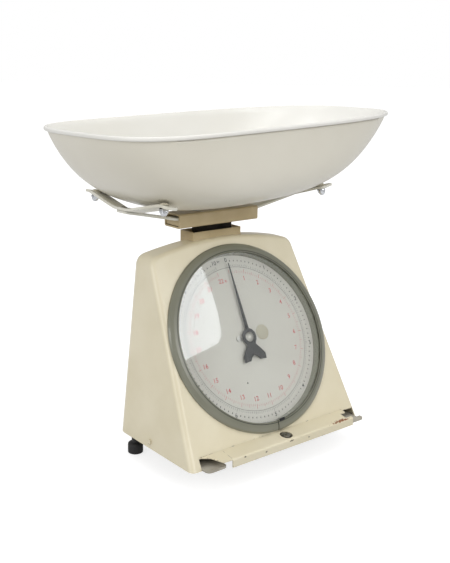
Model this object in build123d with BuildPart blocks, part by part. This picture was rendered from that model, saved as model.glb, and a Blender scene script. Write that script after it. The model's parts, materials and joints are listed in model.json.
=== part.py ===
from build123d import *
from math import acos, asin, atan2, cos, degrees, hypot, pi, radians, sin, tan
import os

os.makedirs("parts", exist_ok=True)

# ---------------------------------------------------------------- driving sizes, millimetres
# The origin is on the table, below the middle of the case. X runs along the pan, -Y is the dial side.

running_gap = 0.3          # between bodies that move past each other
fit_gap = 0.1              # between a shaft and its hole, on the radius
seat_gap = 0.3             # between a loose piece and its seat

# case
case_base_z = 28.0         # lower edge of the case above the table
case_half_width = 130.3    # at the lower edge
case_side_lean = 6.1       # degrees
case_back_y = 75.0
case_shoulder_z = 241.5
case_top_z = 254.0
case_front_radius = 7.0
case_shoulder_radius = 14.0
case_back_radius = 17.0
case_wall = 1.5
case_cut = 4.5             # depth of a cut that passes right through the sheet
foot_cut_depth = 14.0      # front to back, where the foot of the face is cut away
foot_cut_middle = 5.0      # of that cut, behind the face

# dial face
dial_y = -16.5
dial_z = 143.5
dial_lean = 27.2           # degrees, back from upright

# shelf along the foot of the face
shelf_z = 41.2             # where it leaves the face
shelf_front_y = -90.0
shelf_drop = 3.4
shelf_edge_radius = 2.5
skirt_left_x = -84.5       # the skirt is cut away beyond this
skirt_right_x = 106.0
skirt_lip = 3.5            # depth of the lip that stays before the window
window_x = 97.0            # the right corner is open from here
corner_out_x = 125.5
notch_height = 13.0
access_radius = 7.5

# base plate and feet
base_thickness = 2.0
ear_front_y = -86.0
ear_left_x = -116.0
ear_left_end_x = -88.0
ear_neck_x = 112.5
ear_depth = 8.0
ear_right_x = 131.0
ear_radius = 6.0
tab_height = 12.0
tab_width = 22.0
case_screw_y = 6.0
case_screw_length = 4.2
foot_x = 116.0
foot_back_y = 57.0
foot_front_x = 48.0
foot_front_y = 4.0
foot_radius = 9.2
foot_shoulder_z = 12.5
foot_height = 19.0
foot_neck_radius = 4.5
foot_bore_z = 10.0
stud_radius = 3.0
stud_end_z = 40.0
nut_across = 10.0
nut_height = 5.0

# bezel, glass and dial, heights measured out from the face of the case
bezel_radius = 114.6
bezel_edge_height = 3.2
bezel_lip_radius = 103.3
bezel_lip_height = 5.8
bezel_lip_thickness = 1.2
bezel_split = 1.2
glass_radius = 105.0
glass_thickness = 2.0
bore_radius = 107.6        # opening in the face
spigot_wall = 1.8
dial_rim_radius = 101.8
dial_rim_lip = 1.0
dial_height = -7.1         # printed face of the dial
dial_thickness = 1.0
carrier_thickness = 1.5
carrier_tab_radius = 112.2
carrier_tab_width = 22.0
carrier_tab_reach = 5.0
small_screw_radius = 1.5
small_head_radius = 3.0
small_head_height = 1.4
dial_screw_x = -13.5
dial_screw_y = 0.5
dial_screw_radius = 3.5
dial_screw_height = 1.0
dial_screw_shank = 1.2
stamp_x = 24.0
stamp_y = 2.3
stamp_radius = 9.4
stamp_height = 0.4

# pointer
spindle_radius = 1.5
pointer_height = -3.6
pointer_thickness = 0.8
needle_length = 92.0
needle_root = 2.3
needle_tip = 0.35
pointer_hub_radius = 9.0
tail_drop = 28.5           # of the prong tips below the spindle
tail_half_width = 16.0
tail_root = 3.2
tail_notch = 19.0          # depth at which the tail's arc crosses the middle
spindle_clearance = 1.0
cap_radius = 6.0
cap_height = 2.8

# movement behind the dial
plate_margin = 16.0        # beyond the spindle and the quadrant's arbor
plate_half_height = 26.0
plate_thickness = 1.5
plate_front_height = -15.0
plate_back_height = -35.0
plate_window_radius = 7.0
post_inset = 6.0
pillar_radius = 2.5
pillar_neck = 1.4
pivot_reach = 1.2          # of a spindle or arbor past the plates
tooth_module = 0.5
pinion_teeth = 16
pinion_width = 5.0
pressure_angle = 20.0      # degrees
tooth_backlash = 0.14
tooth_addendum = 0.9       # in modules
tooth_dedendum = 1.2
quadrant_teeth = 240       # on a full circle of the same pitch
spare_teeth = 3            # kept beyond each end of the quadrant's swing
quadrant_thickness = 2.0
quadrant_window_inner = 22.0
quadrant_window_outer = 53.0
quadrant_spoke = 3.0       # width of the spokes beside the window
slot_clearance = 0.2
slot_reach = 2.4           # of the slot beyond the drive pin's path
quadrant_height = -24.0
quadrant_hub_radius = 7.0
arbor_radius = 2.0
drive_pin_radius = 1.5
drive_window_gap = 1.0     # between the drive pin's path and the back plate
scale_turn = 348.8         # degrees of pointer for the full load

# load column
stem_y = 60.0
stem_half_width = 28.0
stem_thickness = 6.0
stem_foot_margin = 5.0     # below the link's pin
platform_travel = 6.5
collar_half_length = 38.5
collar_half_depth = 12.1
collar_wall = 2.0
collar_top_z = 262.0
collar_corner = 3.0
guide_z = 244.0
guide_height = 8.0
crosshead_z = 112.0
crosshead_half_length = 60.0
crosshead_height = 14.0
crosshead_depth = 10.0
drive_arm_height = 10.0
drive_arm_thickness = 4.0
drive_arm_height_out = -41.0   # end of the arm behind the face of the case
drive_foot_width = 12.0
drive_foot_thickness = 2.0
drive_pin_top = -18.5

# frame, springs and link
frame_y = 68.5
frame_thickness = 2.0
frame_half_width = 70.0
frame_top_z = 222.0
frame_foot_depth = 14.0
bridge_depth = 16.0
bridge_thickness = 4.0
bridge_clearance = 1.0     # around the stem
peg_radius = 3.4
peg_length = 8.0
spring_x = 46.0
spring_radius = 6.0
spring_wire = 1.1
spring_turns = 16
link_z = 62.0
link_half_width = 34.0
link_strip = 8.0
link_cross_y = 25.0
link_eye_radius = 5.0
link_slot = 0.4            # half the free play of the stem's pin along the link
link_bracket_thickness = 2.0
link_bracket_depth = 12.0
link_bracket_cross_z = 42.0
link_thickness = 3.0
link_pivot_y = -10.0
link_pin_radius = 2.0

# zero setting
zero_x = 3.5
zero_y = -79.5
zero_screw_radius = 2.5
zero_screw_end_z = 30.4
zero_slot_width = 1.2
zero_slot_depth = 1.2
zero_head_radius = 5.6
zero_head_height = 3.4
zero_plate_z = 34.9
zero_plate_thickness = 1.5
zero_plate_margin = 1.5    # between the lever and the bracket's legs
zero_plate_front_y = -87.0
zero_plate_back_y = -60.0
zero_leg_depth = 8.0
zero_boss_radius = 1.8
zero_pin_radius = 1.0
zero_ear_thickness = 2.0
zero_ear_depth = 9.0
zero_ear_height = 7.0
trim_spring_radius = 4.0
trim_spring_wire = 0.8
trim_spring_turns = 14
trim_peg_radius = 2.0
zero_hook_y = 48.0
zero_lever_z = 31.2
zero_lever_width = 8.0
zero_lever_front_y = -85.0
zero_lever_back_y = 54.0
zero_lever_thickness = 2.0
zero_pivot_y = 24.0

# load head and cradle
head_half_length = 59.8
head_half_depth = 15.2
head_bottom_z = 269.3
head_height = 16.8
head_wall = 2.0
head_corner = 2.5
strap_width = 20.0
strap_thickness = 3.0
strap_top_z = 282.0
strap_bend_x = 62.0
strap_slope = 9.5          # degrees
arm_x = 127.0
arm_flat = 12.0
arm_reach = 78.0
arm_slope = 17.8           # degrees
arm_tip_length = 9.0
arm_tip_drop = 35.0        # degrees below level
left_bolt_y = 69.0
right_bolt_y = 54.0
bolt_radius = 2.5
acorn_radius = 5.2
acorn_hex_height = 4.0
acorn_dome_radius = 4.2
buffer_radius = 8.5
buffer_reach = 40.0
stud_grip = 1.0
head_screw_x = 25.0
head_screw_radius = 2.0
head_screw_head = 4.5
head_screw_head_height = 1.8
head_screw_depth = 12.0    # into the stem
head_spacer_radius = 5.0
rivet_radius = 2.0
rivet_head_radius = 3.6
rivet_head_height = 1.4
rivet_grip = 6.0           # through the arm and the bar
rivet_offset = 6.0
strap_end = 10.0           # of the bar beyond the arm's middle

# pan
pan_foot_x = -1.0
pan_foot_z = 290.5
pan_depth = 98.5
pan_left = 185.0
pan_right = 262.8
pan_half_width = 123.2
pan_wall = 1.6
pan_bead_reach = 2.2       # of the rolled edge beyond the wall
pan_bead_height = 4.6
pan_bead_round = 1.8
pan_tilt = 2.45            # degrees, the long end higher
pan_rim_power = 3.46
pan_foot_power = 2.65
pan_left_fall = 1.33       # powers of the profiles down to the belly
pan_left_round = 2.76
pan_right_fall = 0.8
pan_right_round = 2.09
pan_side_fall = 5.0
pan_side_round = 1.31
pan_points = 32
pan_shares = (0.96, 0.9, 0.8, 0.65, 0.45, 0.25, 0.1, 0.03, 0)

# ---------------------------------------------------------------- planes and worked-out sizes

lean_sin = sin(radians(dial_lean))
lean_cos = cos(radians(dial_lean))
dial_centre = (0, dial_y, dial_z)
dial_normal = (0, -lean_cos, lean_sin)
dial_plane = Plane(origin=dial_centre, x_dir=(1, 0, 0), z_dir=dial_normal)
dial_section = Plane(origin=dial_centre, x_dir=(1, 0, 0), z_dir=(0, -lean_sin, -lean_cos))
dial_axis = Axis(dial_centre, dial_normal)


def face_y(z):
    """Y of the leaning face at height z."""
    return dial_y + (z - dial_z) * tan(radians(dial_lean))


def case_half_at(z):
    """Half the width of the case at height z."""
    return case_half_width - (z - case_base_z) * tan(radians(case_side_lean))


def dial_point(across, up, out):
    """A point given across the dial, up its slope and out from the face of the case."""
    return dial_plane.from_local_coords((across, up, out))


def revolve_on_dial(points):
    """A ring or disc about the dial's axis, from a radius and height outline."""
    with BuildPart() as turned:
        with BuildSketch(dial_section):
            with BuildLine():
                Polyline(*points, close=True)
            make_face()
        revolve(axis=dial_axis)
    return turned.part


def finish(part, name):
    """Label one finished piece and write its file."""
    part.label = name
    export_step(part, f"parts/{name}.step")


# ---------------------------------------------------------------- more worked-out sizes

base_top_z = case_base_z + base_thickness
base_half_width = case_half_at(base_top_z) - case_wall / cos(radians(case_side_lean)) - seat_gap
base_front_y = face_y(base_top_z) + case_wall / lean_cos + seat_gap
base_back_y = case_back_y - case_wall - seat_gap
neck_back_y = base_front_y + 2 * case_front_radius
ear_middle_y = ear_front_y + ear_depth / 2
foot_places = [(side * foot_x, foot_back_y) for side in (-1, 1)]
foot_places += [(side * foot_front_x, foot_front_y) for side in (-1, 1)]
tab_screw_z = base_top_z + tab_height / 2
shelf_low_z = shelf_z - shelf_drop
dial_back = dial_height - dial_thickness
carrier_outer_radius = bore_radius + carrier_thickness
carrier_back = dial_back - carrier_thickness
spigot_outer_radius = bore_radius - seat_gap
spigot_inner_radius = spigot_outer_radius - spigot_wall
glass_top = bezel_lip_height - bezel_lip_thickness - fit_gap
gear_ratio = quadrant_teeth / pinion_teeth
pinion_pitch_radius = tooth_module * pinion_teeth / 2
quadrant_pitch_radius = tooth_module * quadrant_teeth / 2
arbor_across = pinion_pitch_radius + quadrant_pitch_radius
quadrant_turn = scale_turn / gear_ratio
drive_rise = platform_travel * lean_cos / 2
drive_radius = drive_rise / tan(radians(quadrant_turn / 2))
drive_across = arbor_across - drive_radius
drive_angle = 180 - quadrant_turn / 2
tooth_pitch_angle = 360 / quadrant_teeth
quadrant_first_tooth = -round(quadrant_turn / tooth_pitch_angle + spare_teeth)
plate_middle = arbor_across / 2
plate_half_width = arbor_across / 2 + plate_margin
post_places = [
    (plate_middle + side * (plate_half_width - post_inset), level * (plate_half_height - post_inset))
    for side in (-1, 1)
    for level in (-1, 1)
]
crosshead_top_z = crosshead_z + crosshead_height / 2
crosshead_foot_z = crosshead_z - crosshead_height / 2
crosshead_front_y = stem_y - crosshead_depth / 2
bridge_foot_z = frame_top_z - bridge_thickness
link_tilt = degrees(atan2(platform_travel / 2, stem_y - link_pivot_y))
link_stem_z = link_z + platform_travel / 2
stem_foot_z = link_stem_z - stem_foot_margin
tab_planes = [
    Plane(
        origin=(side * case_half_at(tab_screw_z), case_screw_y, tab_screw_z),
        x_dir=(0, 1, 0),
        z_dir=(side * cos(radians(case_side_lean)), 0, sin(radians(case_side_lean))),
    )
    for side in (-1, 1)
]
tab_planes.append(Plane(origin=(0, case_back_y, tab_screw_z), x_dir=(1, 0, 0), z_dir=(0, 1, 0)))
head_top_z = head_bottom_z + head_height
strap_tan = tan(radians(strap_slope))
arm_foot_z = strap_top_z + (arm_x - strap_bend_x) * strap_tan
arm_tan = tan(radians(arm_slope))
arm_tip_out = cos(radians(arm_tip_drop))
arm_tip_down = sin(radians(arm_tip_drop))
pan_plane = Plane(origin=(pan_foot_x, stem_y, pan_foot_z)).rotated((0, -pan_tilt, 0))


def cylinder_along(plane, radius, start, end):
    """A round bar along the plane's normal between two heights."""
    with BuildPart() as bar:
        with BuildSketch(plane.offset(start)):
            Circle(radius)
        extrude(amount=end - start)
    return bar.part


def turned_about_z(points):
    """A turned piece about the Z axis from a radius and height outline."""
    with BuildPart() as turned:
        with BuildSketch(Plane.XZ):
            with BuildLine():
                Polyline(*points, close=True)
            make_face()
        revolve(axis=Axis.Z)
    return turned.part


def hexagon_nut(across, height, bore):
    """A plain nut standing on the XY plane."""
    with BuildPart() as nut:
        with BuildSketch():
            RegularPolygon(radius=across / 2, side_count=6, major_radius=False)
            Circle(bore, mode=Mode.SUBTRACT)
        extrude(amount=height)
    return nut.part


def set_of(part, places):
    """Copies of one small piece at several places."""
    with BuildPart() as group:
        with Locations(*places):
            add(part)
    return group.part


def headed_screw(head_radius, head_height, shank_radius, length):
    """A cheese-head screw: its head stands on the XY plane and its shank goes down."""
    return turned_about_z([
        (0, -length),
        (shank_radius, -length),
        (shank_radius, 0),
        (head_radius, 0),
        (head_radius, head_height),
        (0, head_height),
    ])


def bent_strip(points, thickness):
    """Closed outline of a strip bent at the given points, its thickness laid off to the left of the path."""
    far_side = []
    for index, (x, y) in enumerate(points):
        before = points[max(index - 1, 0)]
        after = points[min(index + 1, len(points) - 1)]
        turn_in = atan2(y - before[1], x - before[0]) if index else atan2(after[1] - y, after[0] - x)
        turn_out = atan2(after[1] - y, after[0] - x) if index < len(points) - 1 else turn_in
        middle = (turn_in + turn_out) / 2 + pi / 2
        reach = thickness / cos((turn_out - turn_in) / 2)
        far_side.append((x + reach * cos(middle), y + reach * sin(middle)))
    return list(points) + far_side[::-1]


def helix_spring(radius, wire, start, end, turns, x, y):
    """An extension spring of round wire on a vertical axis, drawn with a six-sided wire section."""
    height = end - start - 2 * wire
    with BuildPart() as spring:
        with BuildLine() as path:
            Helix(pitch=height / turns, height=height, radius=radius - wire, center=(x, y, start + wire))
        with BuildSketch(Plane(origin=path.line @ 0, z_dir=path.line % 0)):
            RegularPolygon(radius=wire, side_count=6)
        sweep(is_frenet=True)
    return spring.part


# ---------------------------------------------------------------- case

with BuildPart() as case_shell:
    with BuildSketch(Plane.XZ.offset(-case_back_y)):
        with BuildLine():
            Line((-case_half_width, case_base_z), (case_half_width, case_base_z))
            Line((case_half_width, case_base_z), (case_half_at(case_shoulder_z), case_shoulder_z))
            ThreePointArc(
                (case_half_at(case_shoulder_z), case_shoulder_z),
                (0, case_top_z),
                (-case_half_at(case_shoulder_z), case_shoulder_z),
            )
            Line((-case_half_at(case_shoulder_z), case_shoulder_z), (-case_half_width, case_base_z))
        make_face()
    extrude(amount=case_back_y - shelf_front_y)
    split(bisect_by=dial_plane, keep=Keep.BOTTOM)
    fillet(case_shell.edges().filter_by(Axis.Y).sort_by(Axis.Z)[-2:], case_shoulder_radius)
    fillet(case_shell.faces().sort_by(Axis.Y)[-1].edges().sort_by(Axis.Z)[1:], case_back_radius)
    dial_side = case_shell.faces().filter_by(lambda face: abs(face.normal_at().Y + lean_cos) < 0.001)[0]
    fillet(dial_side.edges().sort_by(Axis.Z)[1:], case_front_radius)
    offset(amount=-case_wall, openings=case_shell.faces().sort_by(Axis.Z)[0])
    # the foot of the face is cut away where the shelf and the corner notches come
    with BuildSketch(Plane.XY.offset(case_base_z)):
        with Locations(((ear_left_x + corner_out_x) / 2 - seat_gap, face_y(case_base_z) + foot_cut_middle)):
            Rectangle(corner_out_x - ear_left_x + 2 * seat_gap, foot_cut_depth)
    extrude(amount=notch_height - case_wall, mode=Mode.SUBTRACT)
    # the sheet turns out into the shelf and down into the skirt
    with BuildSketch(Plane.YZ.offset(skirt_left_x)):
        with BuildLine():
            Polyline(
                (face_y(shelf_z) + case_wall, shelf_z),
                (face_y(shelf_z), shelf_z),
                (shelf_front_y, shelf_low_z),
                (shelf_front_y, case_base_z),
                (shelf_front_y + case_wall, case_base_z),
                (shelf_front_y + case_wall, shelf_low_z - case_wall),
                (face_y(shelf_z), shelf_z - case_wall),
                (face_y(shelf_z) + case_wall, shelf_z - case_wall),
                close=True,
            )
        make_face()
    extrude(amount=skirt_right_x - skirt_left_x)
    fillet(
        case_shell.edges().filter_by(Axis.X).group_by(Axis.Y)[0].sort_by(Axis.Z)[-1:],
        shelf_edge_radius,
    )
    with BuildSketch(Plane.XY.offset(case_base_z)):
        with Locations((window_x, shelf_front_y + skirt_lip)):
            Rectangle(
                skirt_right_x - window_x + seat_gap,
                face_y(case_base_z) - shelf_front_y - skirt_lip,
                align=(Align.MIN, Align.MIN),
            )
    extrude(amount=notch_height + case_wall, mode=Mode.SUBTRACT)
    with Locations((zero_x, zero_y, shelf_z)):
        Cylinder(access_radius, 2 * notch_height, mode=Mode.SUBTRACT)
    with BuildSketch(dial_plane.offset(case_wall)):
        Circle(bore_radius)
    extrude(amount=-case_cut, mode=Mode.SUBTRACT)
    with BuildSketch(dial_plane.offset(case_wall)):
        with PolarLocations(carrier_tab_radius, 4, start_angle=45):
            Circle(small_screw_radius + fit_gap)
    extrude(amount=-case_cut, mode=Mode.SUBTRACT)
    with BuildSketch(*[place.offset(case_wall) for place in tab_planes]):
        Circle(small_screw_radius + fit_gap)
    extrude(amount=-case_cut, mode=Mode.SUBTRACT)
    with BuildSketch(Plane.XY.offset(frame_top_z)):
        with Locations((0, stem_y)):
            RectangleRounded(
                2 * (collar_half_length + fit_gap),
                2 * (collar_half_depth + fit_gap),
                collar_corner + fit_gap,
            )
    extrude(amount=case_top_z - frame_top_z, mode=Mode.SUBTRACT)

finish(case_shell.part, "case_shell")

# ---------------------------------------------------------------- base plate and feet

with BuildPart() as base_plate:
    with BuildSketch(Plane.XY.offset(case_base_z)) as plate_outline:
        with Locations((0, (base_front_y + base_back_y) / 2)):
            Rectangle(2 * base_half_width, base_back_y - base_front_y)
        fillet(plate_outline.vertices().group_by(Axis.Y)[-1], case_back_radius)
        fillet(plate_outline.vertices().group_by(Axis.Y)[0], case_front_radius)
        with Locations(((ear_left_x + ear_left_end_x) / 2, (ear_front_y + base_front_y) / 2)):
            Rectangle(ear_left_end_x - ear_left_x, base_front_y - ear_front_y)
        with Locations((ear_neck_x, ear_middle_y)):
            Rectangle(corner_out_x - ear_neck_x, neck_back_y - ear_middle_y, align=(Align.MIN, Align.MIN))
        with Locations(((window_x + ear_right_x) / 2, ear_middle_y)):
            Rectangle(ear_right_x - window_x, ear_depth)
        fillet(plate_outline.vertices().group_by(Axis.Y)[0], ear_radius)
    extrude(amount=base_thickness)
    with BuildSketch(*[place.offset(-case_wall - seat_gap) for place in tab_planes]):
        Rectangle(tab_width, tab_height + base_thickness)
    extrude(amount=-base_thickness)
    with BuildSketch(*[place.offset(-case_wall) for place in tab_planes]):
        Circle(small_screw_radius + fit_gap)
    extrude(amount=-2 * base_thickness, mode=Mode.SUBTRACT)
    with Locations(*[(x, y, case_base_z) for x, y in foot_places]):
        Cylinder(stud_radius + fit_gap, 3 * base_thickness, mode=Mode.SUBTRACT)

finish(base_plate.part, "base_plate")

case_screw = headed_screw(small_head_radius, small_head_height, small_screw_radius, case_screw_length)
finish(set_of(case_screw, [place.location for place in tab_planes]), "case_screws")

rubber_foot = turned_about_z([
    (0, 0),
    (foot_radius, 0),
    (foot_radius, foot_shoulder_z),
    (foot_neck_radius, foot_height),
    (stud_radius, foot_height),
    (stud_radius, foot_bore_z),
    (0, foot_bore_z),
])
for place, corner in zip(foot_places, ("back_left", "back_right", "front_left", "front_right")):
    finish(set_of(rubber_foot, [place]), f"rubber_foot_{corner}")

foot_stud = cylinder_along(Plane.XY, stud_radius, foot_bore_z, stud_end_z)
finish(set_of(foot_stud, foot_places), "foot_studs")

foot_nut = hexagon_nut(nut_across, nut_height, stud_radius + fit_gap)
finish(set_of(foot_nut, [(x, y, base_top_z) for x, y in foot_places]), "foot_nuts")

# ---------------------------------------------------------------- bezel, glass and dial

with BuildPart() as bezel_ring:
    add(revolve_on_dial([
        (bezel_radius, 0),
        (bezel_radius, bezel_edge_height / 2),
        (bezel_radius - bezel_edge_height / 2, bezel_edge_height),
        ((bezel_radius + bezel_lip_radius) / 2, (bezel_edge_height + 2 * bezel_lip_height) / 3),
        (bezel_lip_radius, bezel_lip_height),
        (bezel_lip_radius, bezel_lip_height - bezel_lip_thickness),
        (spigot_inner_radius, bezel_lip_height - bezel_lip_thickness),
        (spigot_inner_radius, dial_back + seat_gap),
        (spigot_outer_radius, dial_back + seat_gap),
        (spigot_outer_radius, 0),
    ]))
    with BuildSketch(dial_plane.offset(dial_back)):
        with Locations((0, -bezel_radius)):
            Rectangle(bezel_split, 2 * (bezel_radius - bezel_lip_radius) + 2 * spigot_wall)
    extrude(amount=bezel_lip_height - dial_back, mode=Mode.SUBTRACT)

finish(bezel_ring.part, "bezel_ring")

finish(cylinder_along(dial_plane, glass_radius, glass_top - glass_thickness, glass_top), "dial_glass")

finish(
    revolve_on_dial([
        (dial_rim_radius, dial_height),
        (glass_radius, dial_height),
        (glass_radius, glass_top - glass_thickness),
        (dial_rim_radius + dial_rim_lip, glass_top - glass_thickness),
    ]),
    "dial_rim",
)

with BuildPart() as dial_plate:
    with BuildSketch(dial_plane.offset(dial_back)):
        Circle(glass_radius)
        Circle(spindle_radius + spindle_clearance, mode=Mode.SUBTRACT)
        with Locations((dial_screw_x, dial_screw_y)):
            Circle(dial_screw_shank + fit_gap, mode=Mode.SUBTRACT)
    extrude(amount=dial_thickness)

finish(dial_plate.part, "dial_plate")

with BuildPart() as dial_carrier:
    add(revolve_on_dial([
        (plate_window_radius, carrier_back),
        (carrier_outer_radius, carrier_back),
        (carrier_outer_radius, -case_wall),
        (bore_radius, -case_wall),
        (bore_radius, dial_back),
        (plate_window_radius, dial_back),
    ]))
    with BuildSketch(dial_plane.offset(-case_wall - carrier_thickness)):
        with PolarLocations(carrier_tab_radius, 4, start_angle=45):
            Rectangle(2 * carrier_tab_reach, carrier_tab_width)
            Circle(small_screw_radius + fit_gap, mode=Mode.SUBTRACT)
        Circle(bore_radius, mode=Mode.SUBTRACT)
    extrude(amount=carrier_thickness)
    with BuildSketch(dial_plane.offset(carrier_back)):
        with Locations((dial_screw_x, dial_screw_y)):
            Circle(dial_screw_shank + fit_gap)
        with Locations(*post_places):
            Circle(pillar_neck + fit_gap)
    extrude(amount=carrier_thickness, mode=Mode.SUBTRACT)

finish(dial_carrier.part, "dial_carrier")

with BuildPart() as carrier_screws:
    with BuildSketch(dial_plane.offset(-case_wall - 2 * carrier_thickness)):
        with PolarLocations(carrier_tab_radius, 4, start_angle=45):
            Circle(small_screw_radius)
    extrude(amount=case_wall + 2 * carrier_thickness)
    with BuildSketch(dial_plane.offset(-case_wall - 2 * carrier_thickness)):
        with PolarLocations(carrier_tab_radius, 4, start_angle=45):
            Circle(small_head_radius)
    extrude(amount=carrier_thickness)

finish(carrier_screws.part, "carrier_screws")

with BuildPart() as dial_screw:
    with BuildSketch(dial_plane.offset(dial_height)):
        with Locations((dial_screw_x, dial_screw_y)):
            Circle(dial_screw_radius)
    extrude(amount=dial_screw_height)
    with BuildSketch(dial_plane.offset(carrier_back)):
        with Locations((dial_screw_x, dial_screw_y)):
            Circle(dial_screw_shank)
    extrude(amount=dial_height - carrier_back)

finish(dial_screw.part, "dial_screw")

with BuildPart() as stamp_plug:
    with BuildSketch(dial_plane.offset(dial_height)):
        with Locations((stamp_x, stamp_y)):
            Circle(stamp_radius)
    extrude(amount=stamp_height)

finish(stamp_plug.part, "stamp_plug")

# ---------------------------------------------------------------- pointer, spindle and pinion

with BuildPart() as pointer:
    with BuildSketch(dial_plane.offset(pointer_height)):
        with BuildLine():
            Polyline(
                (-needle_root, 0),
                (-needle_tip, needle_length),
                (needle_tip, needle_length),
                (needle_root, 0),
                close=True,
            )
        make_face()
        with BuildLine():
            Line((tail_root, 0), (tail_half_width, -tail_drop))
            ThreePointArc((tail_half_width, -tail_drop), (0, -tail_notch), (-tail_half_width, -tail_drop))
            Line((-tail_half_width, -tail_drop), (-tail_root, 0))
            Line((-tail_root, 0), (tail_root, 0))
        make_face()
        Circle(pointer_hub_radius)
        Circle(spindle_radius, mode=Mode.SUBTRACT)
    extrude(amount=pointer_thickness)

finish(pointer.part, "pointer")

cap_top = pointer_height + pointer_thickness + cap_height
cap_ball = (cap_radius**2 + cap_height**2) / (2 * cap_height)
cap_half_angle = asin(cap_radius / cap_ball)
with BuildPart() as pointer_cap:
    with BuildSketch(dial_section):
        with BuildLine():
            Line((0, pointer_height + pointer_thickness), (cap_radius, pointer_height + pointer_thickness))
            ThreePointArc(
                (cap_radius, pointer_height + pointer_thickness),
                (cap_ball * sin(cap_half_angle / 2), cap_top - cap_ball * (1 - cos(cap_half_angle / 2))),
                (0, cap_top),
            )
            Line((0, cap_top), (0, pointer_height + pointer_thickness))
        make_face()
    revolve(axis=dial_axis)

finish(pointer_cap.part, "pointer_cap")

finish(
    cylinder_along(
        dial_plane,
        spindle_radius,
        plate_back_height - plate_thickness - pivot_reach,
        pointer_height + pointer_thickness,
    ),
    "spindle",
)


def tooth_half_angle(pitch_radius, radius):
    """Half of the angle that an involute tooth fills at a radius."""
    base_radius = pitch_radius * cos(radians(pressure_angle))
    flank = acos(min(1, base_radius / radius))
    pressure = radians(pressure_angle)
    thickness = pi * tooth_module / 2 - tooth_backlash
    return thickness / (2 * pitch_radius) + tan(pressure) - pressure - tan(flank) + flank


def tooth_row(pitch_radius, middles):
    """Points of a row of teeth, counter-clockwise, at the given middle angles in degrees."""
    root = pitch_radius - tooth_dedendum * tooth_module
    tip = pitch_radius + tooth_addendum * tooth_module
    steps = (root, pitch_radius * cos(radians(pressure_angle)), pitch_radius, (pitch_radius + tip) / 2, tip)
    rising = [radius for radius in steps if radius >= root]
    points = []
    for middle in middles:
        for radius, side in [(radius, -1) for radius in rising] + [(radius, 1) for radius in rising[::-1]]:
            angle = radians(middle) + side * tooth_half_angle(pitch_radius, radius)
            points.append((radius * cos(angle), radius * sin(angle)))
    return points


pinion_middles = [tooth * 360 / pinion_teeth for tooth in range(pinion_teeth)]
with BuildPart() as pinion:
    with BuildSketch(dial_plane.offset(quadrant_height - (pinion_width - quadrant_thickness) / 2)):
        with BuildLine():
            Polyline(
                *tooth_row(pinion_pitch_radius, pinion_middles),
                close=True,
            )
        make_face()
        Circle(spindle_radius, mode=Mode.SUBTRACT)
    extrude(amount=pinion_width)

finish(pinion.part, "pinion")

# ---------------------------------------------------------------- movement plates and quadrant


def plate_disc(height, posts, window):
    """One movement plate, with its pivot holes, post holes and a window for the drive pin."""
    with BuildPart() as plate:
        with BuildSketch(dial_plane.offset(height - plate_thickness)):
            with Locations((plate_middle, 0)):
                RectangleRounded(2 * plate_half_width, 2 * plate_half_height, post_inset)
            Circle(spindle_radius + fit_gap, mode=Mode.SUBTRACT)
            with Locations((arbor_across, 0)):
                Circle(arbor_radius + fit_gap, mode=Mode.SUBTRACT)
            with Locations(*post_places):
                Circle(posts, mode=Mode.SUBTRACT)
            if window:
                with Locations((drive_across, 0)):
                    SlotOverall(
                        2 * (drive_rise + drive_pin_radius + drive_window_gap),
                        2 * (drive_pin_radius + drive_window_gap),
                        rotation=90,
                        mode=Mode.SUBTRACT,
                    )
        extrude(amount=plate_thickness)
    return plate.part


finish(plate_disc(plate_front_height, pillar_neck + fit_gap, False), "movement_front_plate")
finish(plate_disc(plate_back_height, pillar_neck + fit_gap, True), "movement_back_plate")

with BuildPart() as movement_pillars:
    with BuildSketch(dial_plane.offset(plate_back_height - plate_thickness)):
        with Locations(*post_places):
            Circle(pillar_neck)
    extrude(amount=dial_back - plate_back_height + plate_thickness)
    with BuildSketch(dial_plane.offset(plate_back_height)):
        with Locations(*post_places):
            Circle(pillar_radius)
    extrude(amount=plate_front_height - plate_thickness - plate_back_height)

finish(movement_pillars.part, "movement_pillars")

with BuildPart() as movement_spacers:
    with BuildSketch(dial_plane.offset(plate_front_height)):
        with Locations(*post_places):
            Circle(pillar_radius)
            Circle(pillar_neck + fit_gap, mode=Mode.SUBTRACT)
    extrude(amount=carrier_back - plate_front_height)

finish(movement_spacers.part, "movement_spacers")

arbor_plane = Plane(
    origin=dial_point(arbor_across, 0, 0),
    x_dir=(1, 0, 0),
    z_dir=dial_normal,
)
quadrant_middles = [
    180 + (tooth + 0.5) * tooth_pitch_angle
    for tooth in range(quadrant_first_tooth, spare_teeth)
]
quadrant_root = quadrant_pitch_radius - tooth_dedendum * tooth_module
sector_start = radians(quadrant_middles[0] - tooth_pitch_angle)
sector_end = radians(quadrant_middles[-1] + tooth_pitch_angle)
sector_middle = (sector_start + sector_end) / 2


def arbor_polar(radius, angle):
    """Point about the quadrant's arbor from a radius and an angle in radians."""
    return (radius * cos(angle), radius * sin(angle))


def window_corner(radius, edge, side):
    """Corner of the quadrant's window, one spoke's width inside the sector's edge."""
    return arbor_polar(radius, edge + side * quadrant_spoke / radius)


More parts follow.
